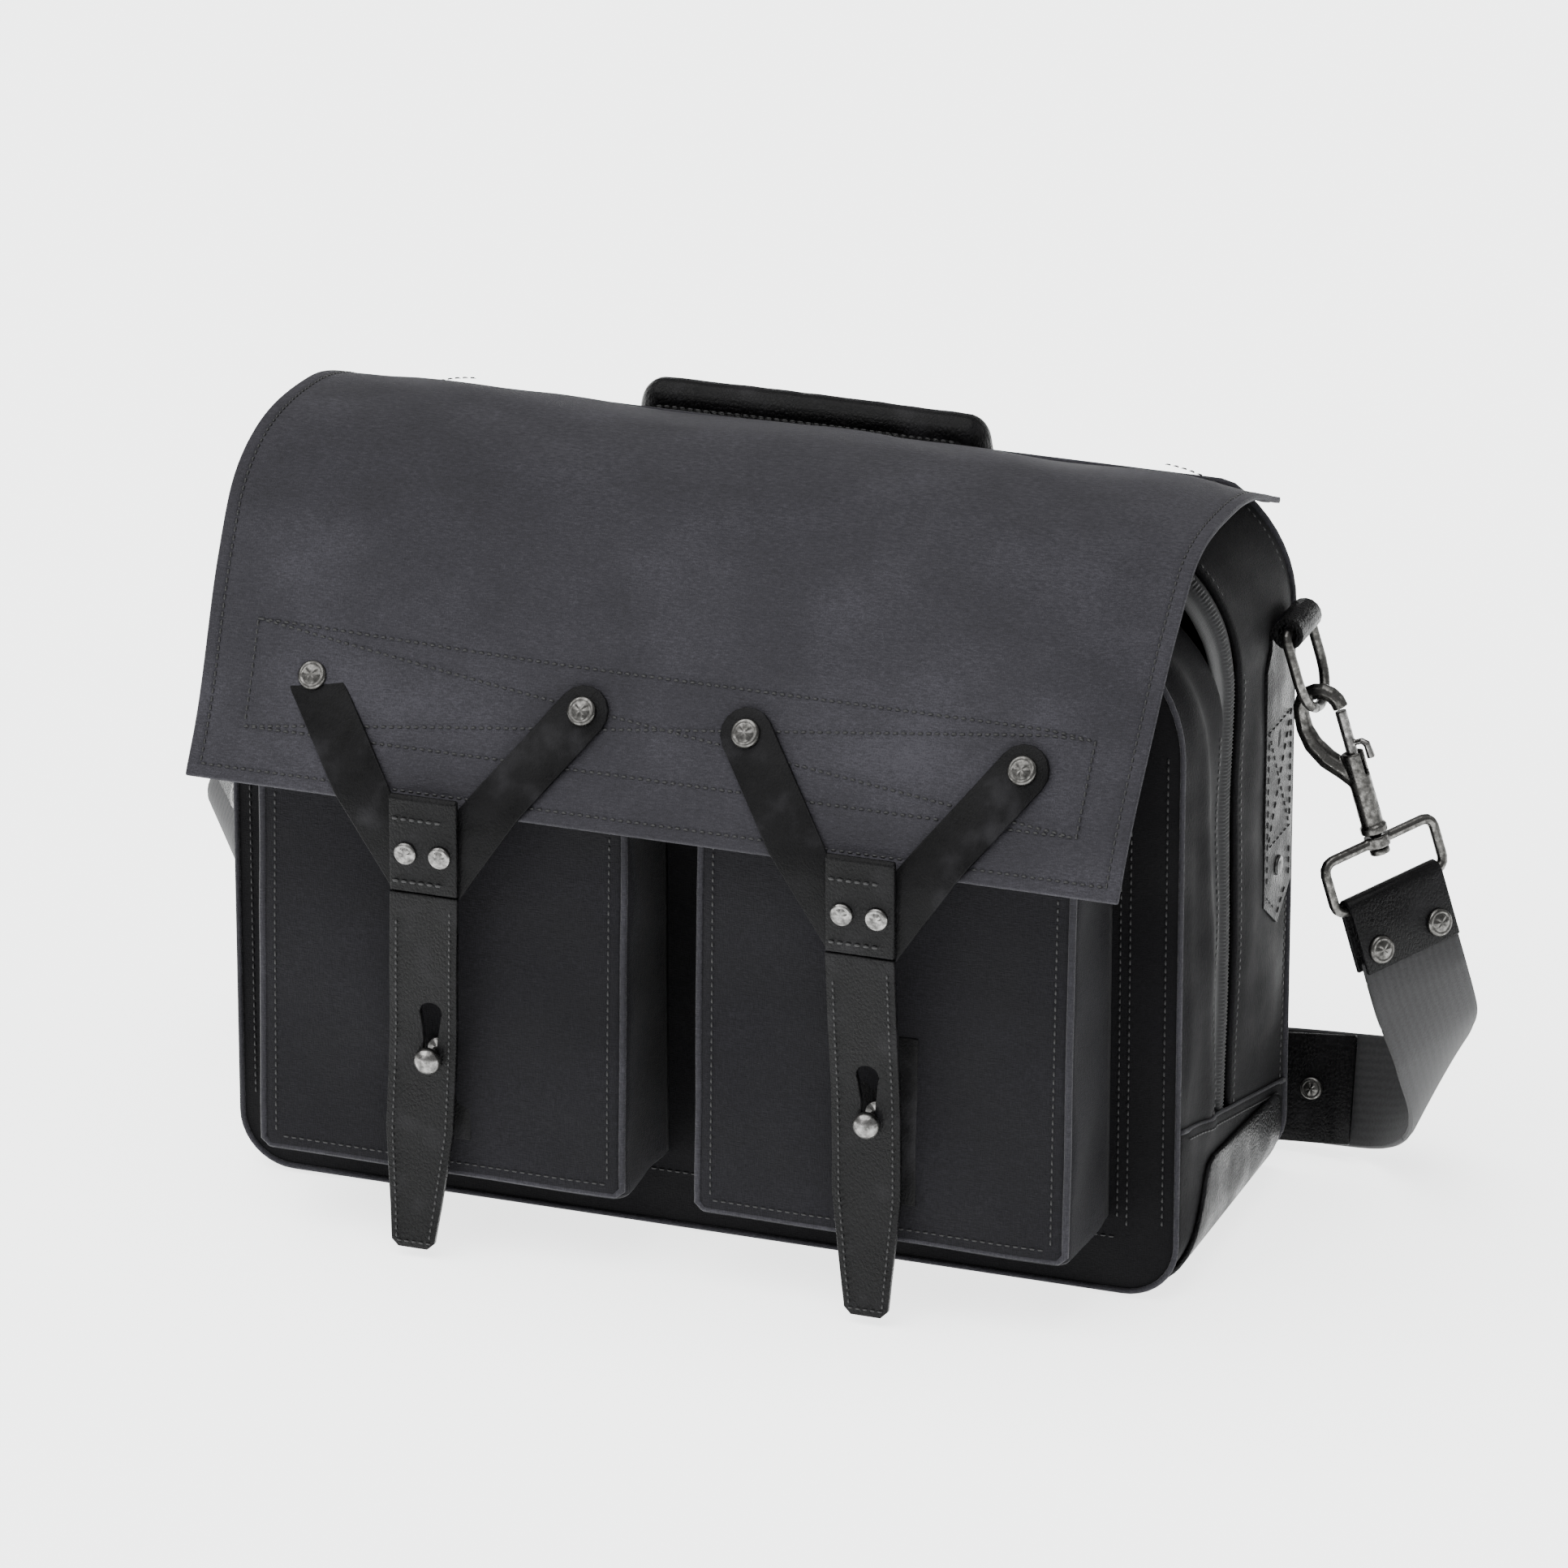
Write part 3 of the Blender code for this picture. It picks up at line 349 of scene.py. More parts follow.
def band(points, thickness, flip=False):
    """A closed sheet from a grid of outer points, with round edges."""
    normals = grid_normals(points)
    if flip:
        normals = -normals
    rows, columns = points.shape[:2]
    inner = points - normals * thickness
    form = bmesh.new()
    uv = form.loops.layers.uv.new("UVMap")
    front = [[form.verts.new(points[i, j]) for j in range(columns)] for i in range(rows)]
    back = [[form.verts.new(inner[i, j]) for j in range(columns)] for i in range(rows)]
    long_way = run_of(points[:, columns // 2])
    wide_way = run_of(points[rows // 2])
    place = {}
    for i in range(rows):
        for j in range(columns):
            place[front[i][j]] = place[back[i][j]] = (wide_way[j] * 10, long_way[i] * 10)
    for i in range(rows - 1):
        for j in range(columns - 1):
            form.faces.new((front[i][j], front[i + 1][j], front[i + 1][j + 1], front[i][j + 1]))
            form.faces.new((back[i][j], back[i][j + 1], back[i + 1][j + 1], back[i + 1][j]))
    rim = [(i, 0) for i in range(rows)] + [(rows - 1, j) for j in range(1, columns)]
    rim += [(i, columns - 1) for i in range(rows - 2, -1, -1)]
    rim += [(0, j) for j in range(columns - 2, 0, -1)]
    middle = []
    for i, j in rim:
        out = Vector(points[i, j] - points[min(max(i, 1), rows - 2), min(max(j, 1), columns - 2)])
        out = out.normalized() * (thickness * 0.3)
        middle.append(form.verts.new(Vector((points[i, j] + inner[i, j]) / 2) + out))
        place[middle[-1]] = place[front[i][j]]
    for k, (i, j) in enumerate(rim):
        n = (k + 1) % len(rim)
        a, b = rim[n]
        form.faces.new((front[i][j], front[a][b], middle[n], middle[k]))
        form.faces.new((middle[k], middle[n], back[a][b], back[i][j]))
    for face in form.faces:
        for loop in face.loops:
            loop[uv].uv = place[loop.vert]
    return mesh_from(form)


def tube(points, radius, sides=12, closed=False, squash=1.0):
    """A round tube along points, as a mesh with its ends closed."""
    points = [Vector(p) for p in points]
    radii = radius if hasattr(radius, "__len__") else [radius] * len(points)
    form = bmesh.new()
    rings = []
    side = None
    count = len(points)
    for k, point in enumerate(points):
        before = points[(k - 1) % count] if closed or k else point
        after = points[(k + 1) % count] if closed or k < count - 1 else point
        along = (after - before).normalized()
        if side is None:
            side = along.orthogonal().normalized()
        side = (side - along * side.dot(along)).normalized()
        other = along.cross(side)
        turns = [2 * math.pi * t / sides for t in range(sides)]
        rings.append([
            form.verts.new(point + (side * math.cos(t) + other * math.sin(t) * squash) * radii[k])
            for t in turns
        ])
    pairs = list(zip(rings, rings[1:]))
    if closed:
        shift = min(
            range(sides),
            key=lambda s: sum((rings[-1][t].co - rings[0][(t + s) % sides].co).length
                              for t in range(sides)),
        )
        pairs.append((rings[-1], rings[0][shift:] + rings[0][:shift]))
    walls(form, pairs)
    if not closed:
        ends(form, rings)
    return mesh_from(form)


def smooth_path(points, steps):
    """A Catmull-Rom path through points."""
    knots = [2 * Vector(points[0]) - Vector(points[1])]
    knots += [Vector(p) for p in points]
    knots.append(2 * knots[-1] - knots[-2])
    path = []
    for a, b, c, d in zip(knots, knots[1:], knots[2:], knots[3:]):
        for i in range(steps):
            t = i / steps
            path.append(
                0.5 * (2 * b + (c - a) * t + (2 * a - 5 * b + 4 * c - d) * t**2
                       + (3 * b - a - 3 * c + d) * t**3)
            )
    path.append(knots[-2])
    return path


def stitch_row(form, path, facing, pitch=0.0034, length=0.0023, radius=0.00042):
    """Raised thread segments along a path; facing gives the outward side at each point."""
    points = [Vector(p) for p in path]
    lengths = [0.0]
    for a, b in zip(points, points[1:]):
        lengths.append(lengths[-1] + (b - a).length)
    k = 0
    for n in range(int(lengths[-1] / pitch)):
        start = (n + 0.2) * pitch
        while k < len(lengths) - 2 and lengths[k + 1] < start:
            k += 1
        share = (start - lengths[k]) / max(lengths[k + 1] - lengths[k], 1e-9)
        middle = points[k].lerp(points[k + 1], share)
        along = (points[k + 1] - points[k]).normalized()
        up = Vector(facing[k]).normalized()
        across = along.cross(up).normalized()
        rings = []
        for part, rise, wide in ((-0.5, -0.5, 0.45), (-0.3, 0.55, 1.0), (0.3, 0.55, 1.0), (0.5, -0.5, 0.45)):
            core = middle + along * (part * length) + up * (rise * radius)
            turns = [math.pi / 3 * t for t in range(6)]
            rings.append([
                form.verts.new(core + (across * math.cos(t) * 1.15 + up * math.sin(t)) * radius * wide)
                for t in turns
            ])
        walls(form, zip(rings, rings[1:]))
        ends(form, rings)


def stitching(name, rows, body, slot, **sizes):
    """All the stitch rows of one part, as one piece."""
    form = bmesh.new()
    for path, facing in rows:
        stitch_row(form, path, facing, **sizes)
    return piece(name, mesh_from(form), THREAD, body)


def refined(node, finish, body, width=0.0006, segments=3, suffix="leather"):
    """A CAD piece with its edges rounded and a finish of its own."""
    form = welded(frame["nodes"][node].data, NODE_WELD)
    bmesh.ops.dissolve_limit(form, angle_limit=0.02, verts=form.verts, edges=form.edges)
    made = piece(f"{node}_{suffix}", mesh_from(form), finish, body, (node,))
    soft = made.modifiers.new("round", "BEVEL")
    soft.width = width
    soft.segments = segments
    soft.limit_method = "ANGLE"
    soft.angle_limit = math.radians(38)
    settle(made)
    made.data.shade_smooth()
    return made


def voxelled(made, size):
    remesh = made.modifiers.new("remesh", "REMESH")
    remesh.mode = "VOXEL"
    remesh.voxel_size = size


def cast(node, suffix, finish, body, voxel, passes):
    """A CAD piece turned into a soft-edged casting."""
    form = welded(frame["nodes"][node].data, NODE_WELD)
    made = piece(f"{node}_{suffix}", mesh_from(form), finish, body, (node,))
    voxelled(made, voxel)
    soft = made.modifiers.new("soften", "SMOOTH")
    soft.iterations = passes
    soft.factor = 0.5
    settle(made)
    made.data.shade_smooth()
    return made


def settle(made):
    """Apply a piece's modifiers."""
    graph = bpy.context.evaluated_depsgraph_get()
    mesh = bpy.data.meshes.new_from_object(made.evaluated_get(graph))
    made.modifiers.clear()
    old = made.data
    made.data = mesh
    bpy.data.meshes.remove(old)


def ease(low, high, value):
    t = min(max((value - low) / (high - low), 0.0), 1.0)
    return t * t * (3 - 2 * t)


def crumple(x, y, z, size, seed):
    """Smooth noise from -1 to 1 for creases of about that size."""
    return noise.noise(Vector((x / size + seed, y / size, z / size)))


def lines_between(low, high, step, fine=()):
    """Grid lines at a step, with more close to the fine places."""
    values = set(np.linspace(low, high, max(int(round((high - low) / step)), 1) + 1).round(6))
    for centre in fine:
        values |= {round(centre + d, 6) for d in (-0.0018, -0.0009, -0.0004, 0.0, 0.0004, 0.0009, 0.0018)}
    return [v for v in sorted(values) if low <= v <= high]


# ---- Flap -------------------------------------------------------------------
# Depth and height of the flap's outer face, hinge to hem: middle, left edge, right edge
FLAP_MIDDLE = [
    (0.0700, 0.2950), (0.0400, 0.3080), (0.0030, 0.3150), (-0.0400, 0.3108),
    (-0.0680, 0.2950), (-0.0900, 0.2690), (-0.1170, 0.2240), (-0.1340, 0.1970),
]
FLAP_LEFT = [
    (0.0700, 0.2950), (0.0390, 0.3085), (0.0000, 0.3185), (-0.0450, 0.3195),
    (-0.0770, 0.3060), (-0.0970, 0.2770), (-0.1185, 0.2245), (-0.1340, 0.1970),
]
FLAP_RIGHT = [
    (0.0700, 0.2945), (0.0400, 0.3045), (0.0000, 0.3090), (-0.0380, 0.3050),
    (-0.0620, 0.2870), (-0.0850, 0.2600), (-0.1160, 0.2235), (-0.1340, 0.1970),
]
FLAP_HALF = 0.194
FLAP_THICKNESS = 0.0024
FLAP_STEPS = 16
HEM_LINE = 0.005
BOX_LOW, BOX_HIGH, BOX_HALF = 0.0225, 0.0630, 0.1735


def resampled(profile):
    return [Vector((p.x, p.y)) for p in smooth_path([(y, z, 0) for y, z in reversed(profile)], FLAP_STEPS)]


FLAP_PATHS = [resampled(p) for p in (FLAP_MIDDLE, FLAP_LEFT, FLAP_RIGHT)]
FLAP_LENGTHS = [0.0]
for first, second in zip(FLAP_PATHS[0], FLAP_PATHS[0][1:]):
    FLAP_LENGTHS.append(FLAP_LENGTHS[-1] + (second - first).length)
FLAP_LENGTH = FLAP_LENGTHS[-1]


def flap_at(x, s):
    """The flap's outer face at a place across and a distance up from the hem."""
    k = int(np.searchsorted(FLAP_LENGTHS, s, side="right")) - 1
    k = min(max(k, 0), len(FLAP_LENGTHS) - 2)
    t = (s - FLAP_LENGTHS[k]) / (FLAP_LENGTHS[k + 1] - FLAP_LENGTHS[k])
    middle, left, right = [path[k].lerp(path[k + 1], t) for path in FLAP_PATHS]
    if x < 0:
        point = middle.lerp(left, ease(0.03, FLAP_HALF, -x))
    else:
        point = middle.lerp(right, ease(0.150, FLAP_HALF, x))
    free = ease(0.060, 0.120, s) * ease(0.0, 0.03, FLAP_LENGTH - s)
    slack = 0.0024 * crumple(x * 0.8 + s * 0.5, s, 0, 0.085, 3.1) * free
    slack += 0.0009 * crumple(x + s, s * 0.6, 0, 0.032, 8.7) * free
    droop = 0.003 * ease(0.160, FLAP_HALF, abs(x)) * ease(0.012, 0.070, point.x)
    sway = 0.0016 * crumple(x, 0, 0, 0.11, 5.0) * free
    hem = 0.0012 * crumple(x, 0, 0, 0.07, 1.7) * (1 - ease(0.0, 0.02, s)) * ease(0.160, 0.18, abs(x))
    edge = min(FLAP_HALF - abs(x), s)
    groove = 0.00045 * math.exp(-((edge - HEM_LINE) / 0.0008) ** 2)
    lip = 0.0003 * (1 - ease(0.004, 0.006, edge))
    if abs(x) < BOX_HALF + 0.002 and BOX_LOW - 0.002 < s < BOX_HIGH + 0.002:
        near = min(abs(s - BOX_LOW), abs(s - BOX_HIGH), BOX_HALF + 0.001 - abs(x))
        groove += 0.0004 * math.exp(-(near / 0.0009) ** 2)
    slope = FLAP_PATHS[0][min(k + 1, len(FLAP_LENGTHS) - 1)] - FLAP_PATHS[0][k]
    normal = Vector((-slope.y, slope.x)).normalized()
    point = point + normal * (slack + hem + lip - groove)
    return Vector((x, point.x, point.y + sway * 0.5 - droop))


def flap_normal(x, s):
    step = 0.0008
    along = flap_at(x, min(s + step, FLAP_LENGTH)) - flap_at(x, max(s - step, 0))
    across = flap_at(x + step, s) - flap_at(x - step, s)
    return across.cross(along).normalized()


def on_flap(corners, count=60):
    """A stitch path over the flap through corners given as (x, s)."""
    path, facing = [], []
    for (xa, sa), (xb, sb) in zip(corners, corners[1:]):
        for i in range(count):
            t = i / count
            x, s = xa + (xb - xa) * t, sa + (sb - sa) * t
            path.append(flap_at(x, s))
            facing.append(flap_normal(x, s))
    path.append(flap_at(*corners[-1]))
    facing.append(facing[-1])
    return path, facing


def make_flap():
    xs = lines_between(-FLAP_HALF, FLAP_HALF, 0.0052, (
        HEM_LINE - FLAP_HALF, FLAP_HALF - HEM_LINE, -BOX_HALF, BOX_HALF, -FLAP_HALF, FLAP_HALF))
    rows = lines_between(0.0, FLAP_LENGTH, 0.0045, (0.0, HEM_LINE, BOX_LOW, BOX_HIGH))
    points = np.array([[flap_at(x, s) for x in xs] for s in rows])
    mesh = band(points, FLAP_THICKNESS, flip=True)
    made = piece("flap_cloth", mesh, FLAP_CANVAS, None, ("flap",))
    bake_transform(made)
    edge, foot, top = FLAP_HALF - HEM_LINE, HEM_LINE, FLAP_LENGTH - 0.012
    low, high, half = BOX_LOW, BOX_HIGH, BOX_HALF
    rows = [
        on_flap([(-edge, top), (-edge, foot), (edge, foot), (edge, top)], 90),
        on_flap([(-half, low), (half, low), (half, high), (-half, high), (-half, low)]),
        on_flap([(-half, low), (half, high)]),
        on_flap([(-half, high), (half, low)]),
    ]
    sewn = stitching("flap_stitches", rows, None, "canvas")
    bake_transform(sewn)
    lining = np.array([[flap_at(x, s) - flap_normal(x, s) * (FLAP_THICKNESS + 0.0004)
                        for x in np.linspace(-0.176, 0.176, 60)] for s in np.linspace(0.021, 0.065, 10)])
    piece("flap_reinforcement_cloth", band(lining, 0.0008, flip=True), LINING, "flap",
          ("flap_reinforcement",))


# ---- Yokes, tongues and rivets ----------------------------------------------
def seat_of(node):
    """Foot centre, outward axis and radius of a round CAD cap."""
    co = np.array([v.co for v in frame["nodes"][node].data.vertices])
    co = np.unique(co.round(7), axis=0)
    centre = co.mean(axis=0)
    axis = np.linalg.svd(co - centre)[2][2]
    heights = (co - centre) @ axis
    if (heights > heights.max() - 0.0002).sum() > (heights < heights.min() + 0.0002).sum():
        axis, heights = -axis, -heights
    flat = (co - centre) - np.outer((co - centre) @ axis, axis)
    apex = co[np.argmax(heights)]
    radius = np.linalg.norm(flat - flat[np.argmax(heights)], axis=1).max()
    return Vector(apex) - Vector(axis) * (heights.max() - heights.min()), Vector(axis), float(radius)


RIVET_PROFILE = [
    (0.00, 0.40), (0.20, 0.40), (0.40, 0.38), (0.58, 0.33), (0.66, 0.29), (0.72, 0.31),
    (0.80, 0.32), (0.88, 0.29), (0.95, 0.22), (1.00, 0.12), (1.00, 0.0),
]
PETALS = 6


def turned(profile, seat, axis, steps=36, relief=0.0):
    """A turned form with its foot on seat; relief raises a plain petal pattern on it."""
    turn = Vector(axis).to_track_quat("Z", "Y").to_matrix().to_4x4()
    place = Matrix.Translation(seat) @ turn
    form = bmesh.new()
    rings = []
    for r, h in profile:
        if r == 0:
            rings.append([form.verts.new(place @ Vector((0, 0, h)))])
            continue
        ring = []
        for t in range(steps):
            angle = 2 * math.pi * t / steps
            rise = relief * math.cos(PETALS * angle) * math.exp(-((r / profile[-1][0] - 0.42) / 0.16) ** 2)
            ring.append(form.verts.new(place @ Vector((r * math.cos(angle), r * math.sin(angle), h + rise))))
        rings.append(ring)
    for a, b in zip(rings, rings[1:]):
        for t in range(steps):
            n = (t + 1) % steps
            if len(a) == 1:
                form.faces.new((a[0], b[t], b[n]))
            elif len(b) == 1:
                form.faces.new((a[t], a[n], b[0]))
            else:
                form.faces.new((a[t], b[t], b[n], a[n]))
    if len(rings[-1]) > 1:
        form.faces.new(rings[-1])
    return mesh_from(form)


def rivet(node, body, finish):
    seat, axis, radius = seat_of(node)
    profile = [(r * radius, h * radius) for r, h in RIVET_PROFILE]
    mesh = turned(profile, seat - axis * 0.0002, axis, relief=radius * 0.035)
    piece(f"{node}_cap", mesh, finish, body, (node,))


TONGUE_TOP = 0.1615
TONGUE_HALF, TONGUE_TIP_HALF = 0.0143, 0.0092
TONGUE_TAPER, TONGUE_TIP = 0.056, 0.004
TONGUE_HANG = [(-0.1383, 0.160), (-0.1345, 0.125), (-0.1312, 0.100), (-0.1300, 0.075),
               (-0.1298, 0.040), (-0.1302, 0.004)]
TONGUE_LEAN = {"left": math.radians(3.6), "right": 0.0}
STUD_Z = 0.088


def hang(z):
    """Depth of a tongue's middle at a height."""
    path = smooth_path([(y, h, 0) for y, h in TONGUE_HANG], 8)
    heights = [p.y for p in path][::-1]
    depths = [p.x for p in path][::-1]
    return float(np.interp(z, heights, depths))


def outline_mesh(outlines, half_thickness, edge):
    """A plate in X and Z with round edges, from closed outlines."""
    curve = bpy.data.curves.new("outline", "CURVE")
    curve.dimensions = "2D"
    curve.fill_mode = "BOTH"
    curve.extrude = half_thickness - edge
    curve.bevel_depth = edge
    curve.bevel_resolution = 2
    curve.offset = -edge
    for outline in outlines:
        spline = curve.splines.new("POLY")
        spline.points.add(len(outline) - 1)
        spline.use_cyclic_u = True
        for point, (x, z) in zip(spline.points, outline):
            point.co = (x, z, 0.0, 1.0)
    holder = shown("holder", curve)
    graph = bpy.context.evaluated_depsgraph_get()
    mesh = bpy.data.meshes.new_from_object(holder.evaluated_get(graph))
    bpy.data.objects.remove(holder)
    mesh.transform(Matrix(((1, 0, 0, 0), (0, 0, -1, 0), (0, 1, 0, 0), (0, 0, 0, 1))))
    return mesh


def arc(centre, radius, start, end, steps=10):
    turns = [math.radians(start + (end - start) * i / steps) for i in range(steps + 1)]
    return [(centre[0] + radius * math.cos(t), centre[1] + radius * math.sin(t)) for t in turns]


def make_tongue(name, side):
    centre = middle_of(f"junction_{name}")[0]
    lean = math.tan(TONGUE_LEAN[name])
    half, tip, nip = TONGUE_HALF, TONGUE_TIP_HALF, 0.003
    outline = [(-half, TONGUE_TOP), (-half, TONGUE_TAPER), (-tip, TONGUE_TIP + nip), (nip - tip, TONGUE_TIP),
               (tip - nip, TONGUE_TIP), (tip, TONGUE_TIP + nip), (half, TONGUE_TAPER), (half, TONGUE_TOP)]
    stud_x = middle_of(f"stud_{name}")[0] - centre - (STUD_Z - TONGUE_TOP) * lean
    slit, eye = 0.0024, 0.0046
    hole = arc((stud_x, STUD_Z - 0.0015), slit, 180, 360, 8)
    hole += [(stud_x + slit * 1.25, STUD_Z + 0.009)]
    hole += arc((stud_x, STUD_Z + 0.0205), eye, -25, 205, 16)
    hole += [(stud_x - slit * 1.25, STUD_Z + 0.009)]
    mesh = outline_mesh([outline, hole], 0.0014, 0.0005)
    form = welded(mesh, OUTLINE_WELD)
    sliced(form, 2, np.arange(TONGUE_TIP + 0.006, TONGUE_TOP, 0.006))

    def bent(x, y, z):
        curl = 0.0010 * ease(0.05, 0.0, z) * crumple(z, 0, 0, 0.02, 2.0 + side)
        return Vector((centre + x + (z - TONGUE_TOP) * lean, hang(z) + y + curl, z))

    for corner in form.verts:
        corner.co = bent(*corner.co)
    made = piece(f"tongue_{name}_leather", mesh_from(form), GLOSSY, None, (f"tongue_{name}",))
    bent(0, 0, TONGUE_TOP)
    bent(0, 0, 0.152)
    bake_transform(made)
    inset = 0.0030
    route = [(half - inset, 0.155), (half - inset, TONGUE_TAPER),
             (tip - inset * 0.8, TONGUE_TIP + inset), (inset * 0.8 - tip, TONGUE_TIP + inset),
             (inset - half, TONGUE_TAPER), (inset - half, 0.155)]
    path = []
    for (xa, za), (xb, zb) in zip(route, route[1:]):
        count = max(int(math.hypot(xb - xa, zb - za) / 0.003), 2)
        path += [bent(xa + (xb - xa) * i / count, -0.0014, za + (zb - za) * i / count) for i in range(count)]
    stitching(f"tongue_{name}_stitches", [faced(path, FORWARD)], f"tongue_{name}", "leather",
              pitch=0.0031, length=0.0020, radius=0.00036)


def make_stud(name):
    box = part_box(f"stud_{name}")
    reach = box[1][1] - box[0][1]
    x, _, z = middle_of(f"stud_{name}")
    seat = Vector((x, box[1][1], z))
    ball = 0.0056
    head = [(ball * math.sin(a), reach - ball * 0.72 + ball * 0.72 * math.cos(a))
            for a in np.linspace(0, 2.3, 14)]
    profile = head + [(0.0021, reach - ball * 1.28), (0.0021, 0.0014), (0.0048, 0.0012), (0.0050, 0.0)]
    profile[0] = (0, reach)
    mesh = turned(profile, seat, FORWARD, 32)
    piece(f"stud_{name}_ball", mesh, BRIGHT, "root", (f"stud_{name}",))


def make_yokes():
    for name, side in SIDES:
        for arm in ARMS:
            refined(f"yoke_arm_{name}_{arm}", SMOOTH, "flap")
            rivet(f"flap_rivet_{name}_{arm}", "flap", NICKEL)
            rivet(f"junction_rivet_{name}_{arm}", "flap", BRIGHT)
        refined(f"junction_{name}", GLOSSY, "flap", 0.0009, 4)
        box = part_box(f"junction_{name}")
        rows = []
        for z in (box[1][2] - 0.010, box[0][2] + 0.0045):
            across = np.linspace(box[0][0] + 0.002, box[1][0] - 0.002, 12)
            rows.append(faced([(x, box[0][1], z) for x in across], FORWARD))
        stitching(f"junction_{name}_stitches", rows, "flap", "leather", pitch=0.0036, length=0.0026,
                  radius=0.00055)
        make_tongue(name, side)
        make_stud(name)
        refined(f"stud_tab_{name}", SMOOTH, "root")


# ---- Pockets ----------------------------------------------------------------
POCKET_IN, POCKET_OUT = 0.0143, 0.1718
POCKET_FRONT, POCKET_BACK = -0.120, -0.0703
POCKET_FOOT, POCKET_TOP = 0.033, 0.213
POCKET_SLOPE = 0.034
POCKET_CORNER = 0.006
POCKET_WALL = 0.0022


def pocket_plan(inset, count=26):
    """A pocket seen from above, as points that go back left, front and back right."""
    low, high = POCKET_IN + inset, POCKET_OUT - inset
    front, back, corner = POCKET_FRONT + inset, POCKET_BACK - inset, max(POCKET_CORNER - inset, 0.001)
    side = [(low, y) for y in np.linspace(back, front + corner, 12)]
    left = arc((low + corner, front + corner), corner, 180, 270, 6)[1:]
    face = [(x, front) for x in np.linspace(low + corner, high - corner, count)][1:]
    right = arc((high - corner, front + corner), corner, 270, 360, 6)[1:]
    far = [(high, y) for y in np.linspace(front + corner, back, 12)][1:]
    rear = [(x, back) for x in np.linspace(high, low, count)][1:-1]
    return side + left + face + right + far + rear


def pocket_at(side, x, y, z, soft=1.0):
    """A point on a pocket's wall: it leans back as it rises, and its cloth is slack."""
    depth = (POCKET_BACK - y) / (POCKET_BACK - POCKET_FRONT)
    y += depth * (z - POCKET_FOOT) * POCKET_SLOPE
    across = (x - POCKET_IN) / (POCKET_OUT - POCKET_IN)
    up = (z - POCKET_FOOT) / (POCKET_TOP - POCKET_FOOT)
    face = ease(0.80, 1.0, depth) * math.sin(math.pi * min(max(across, 0), 1)) ** 0.7
    puff = 0.0022 * face * math.sin(math.pi * min(max(up, 0), 1)) ** 0.6
    slack = 0.0022 * crumple(x * 1.2, z * 0.7, y, 0.05, 11 * side) * face * ease(0.0, 0.12, up)
    y -= (puff + slack) * soft
    wall = (1 - ease(0.85, 1.0, depth)) * ease(0.02, 0.25, depth)
    bow = 0.0022 * crumple(y, z, 0, 0.035, 4 + side) * wall
    x += bow * soft
    z += 0.0014 * crumple(x, 0, 0, 0.06, 7 + side) * soft * depth * (1 - ease(0.0, 0.1, up))
    return Vector((side * x, y, z))


def make_pocket(name, side):
    form = bmesh.new()
    outer = pocket_plan(0.0)
    inner = pocket_plan(POCKET_WALL)
    centre = ((POCKET_IN + POCKET_OUT) / 2, (POCKET_FRONT + POCKET_BACK) / 2)
    heights = [POCKET_FOOT + 0.0015] + list(np.linspace(POCKET_FOOT + 0.005, POCKET_TOP, 34))
    rings = []
    for share in (0.2, 0.5, 0.8, 0.93, 0.985):
        rings.append([((x - centre[0]) * share + centre[0], (y - centre[1]) * share + centre[1], POCKET_FOOT)
                      for x, y in outer])
    rings += [[(x, y, z) for x, y in outer] for z in heights]
    rings += [[((a + c) / 2, (b + d) / 2, POCKET_TOP + 0.0008) for (a, b), (c, d) in zip(outer, inner)]]
    rings += [[(x, y, z) for x, y in inner] for z in heights[::-3]]
    for share in (0.9, 0.5, 0.15):
        rings.append([((x - centre[0]) * share + centre[0], (y - centre[1]) * share + centre[1],
                       POCKET_FOOT + POCKET_WALL) for x, y in inner])
    made = [[form.verts.new(pocket_at(side, *p)) for p in ring] for ring in rings]
    walls(form, zip(made, made[1:]))
    ends(form, made)
    cloth(f"pocket_{name}", mesh_from(form), SHADED_POCKET_CANVAS)
    nose = POCKET_CORNER * 0.30
    low, high, front = POCKET_IN + nose, POCKET_OUT - nose, POCKET_FRONT + nose
    route = [(low, front, z) for z in np.linspace(POCKET_TOP - 0.001, POCKET_FOOT + 0.004, 40)]
    route += [(x, front, POCKET_FOOT + 0.0015) for x in np.linspace(low + 0.003, high - 0.003, 40)]
    route += [(high, front, z) for z in np.linspace(POCKET_FOOT + 0.004, POCKET_TOP - 0.001, 40)]
    path = [pocket_at(side, *p) + Vector((0, -0.0006, 0)) for p in route]
    piece(f"pocket_{name}_piping", tube(path, 0.0015, 8), PIPING, "root")
    inset = 0.004
    rows = []
    for x in (POCKET_IN + POCKET_CORNER + inset * 0.4, POCKET_OUT - POCKET_CORNER - inset * 0.4):
        path = [pocket_at(side, x, POCKET_FRONT, z) for z in np.linspace(POCKET_TOP, POCKET_FOOT + 0.006, 50)]
        rows.append(faced(path, FORWARD))
    path = [pocket_at(side, x, POCKET_FRONT, POCKET_FOOT + 0.006)
            for x in np.linspace(POCKET_IN + 0.009, POCKET_OUT - 0.009, 50)]
    rows.append(faced(path, FORWARD))
    for out, low in ((0.0035, 0.002), (0.0075, 0.005)):
        heights = np.linspace(POCKET_TOP, POCKET_FOOT - low, 50)
        rows.append(faced([(side * (POCKET_OUT + out), FRONT_Y - 0.0002, z) for z in heights], FORWARD))
    stitching(f"pocket_{name}_stitches", rows, "root", "canvas", radius=FINE)


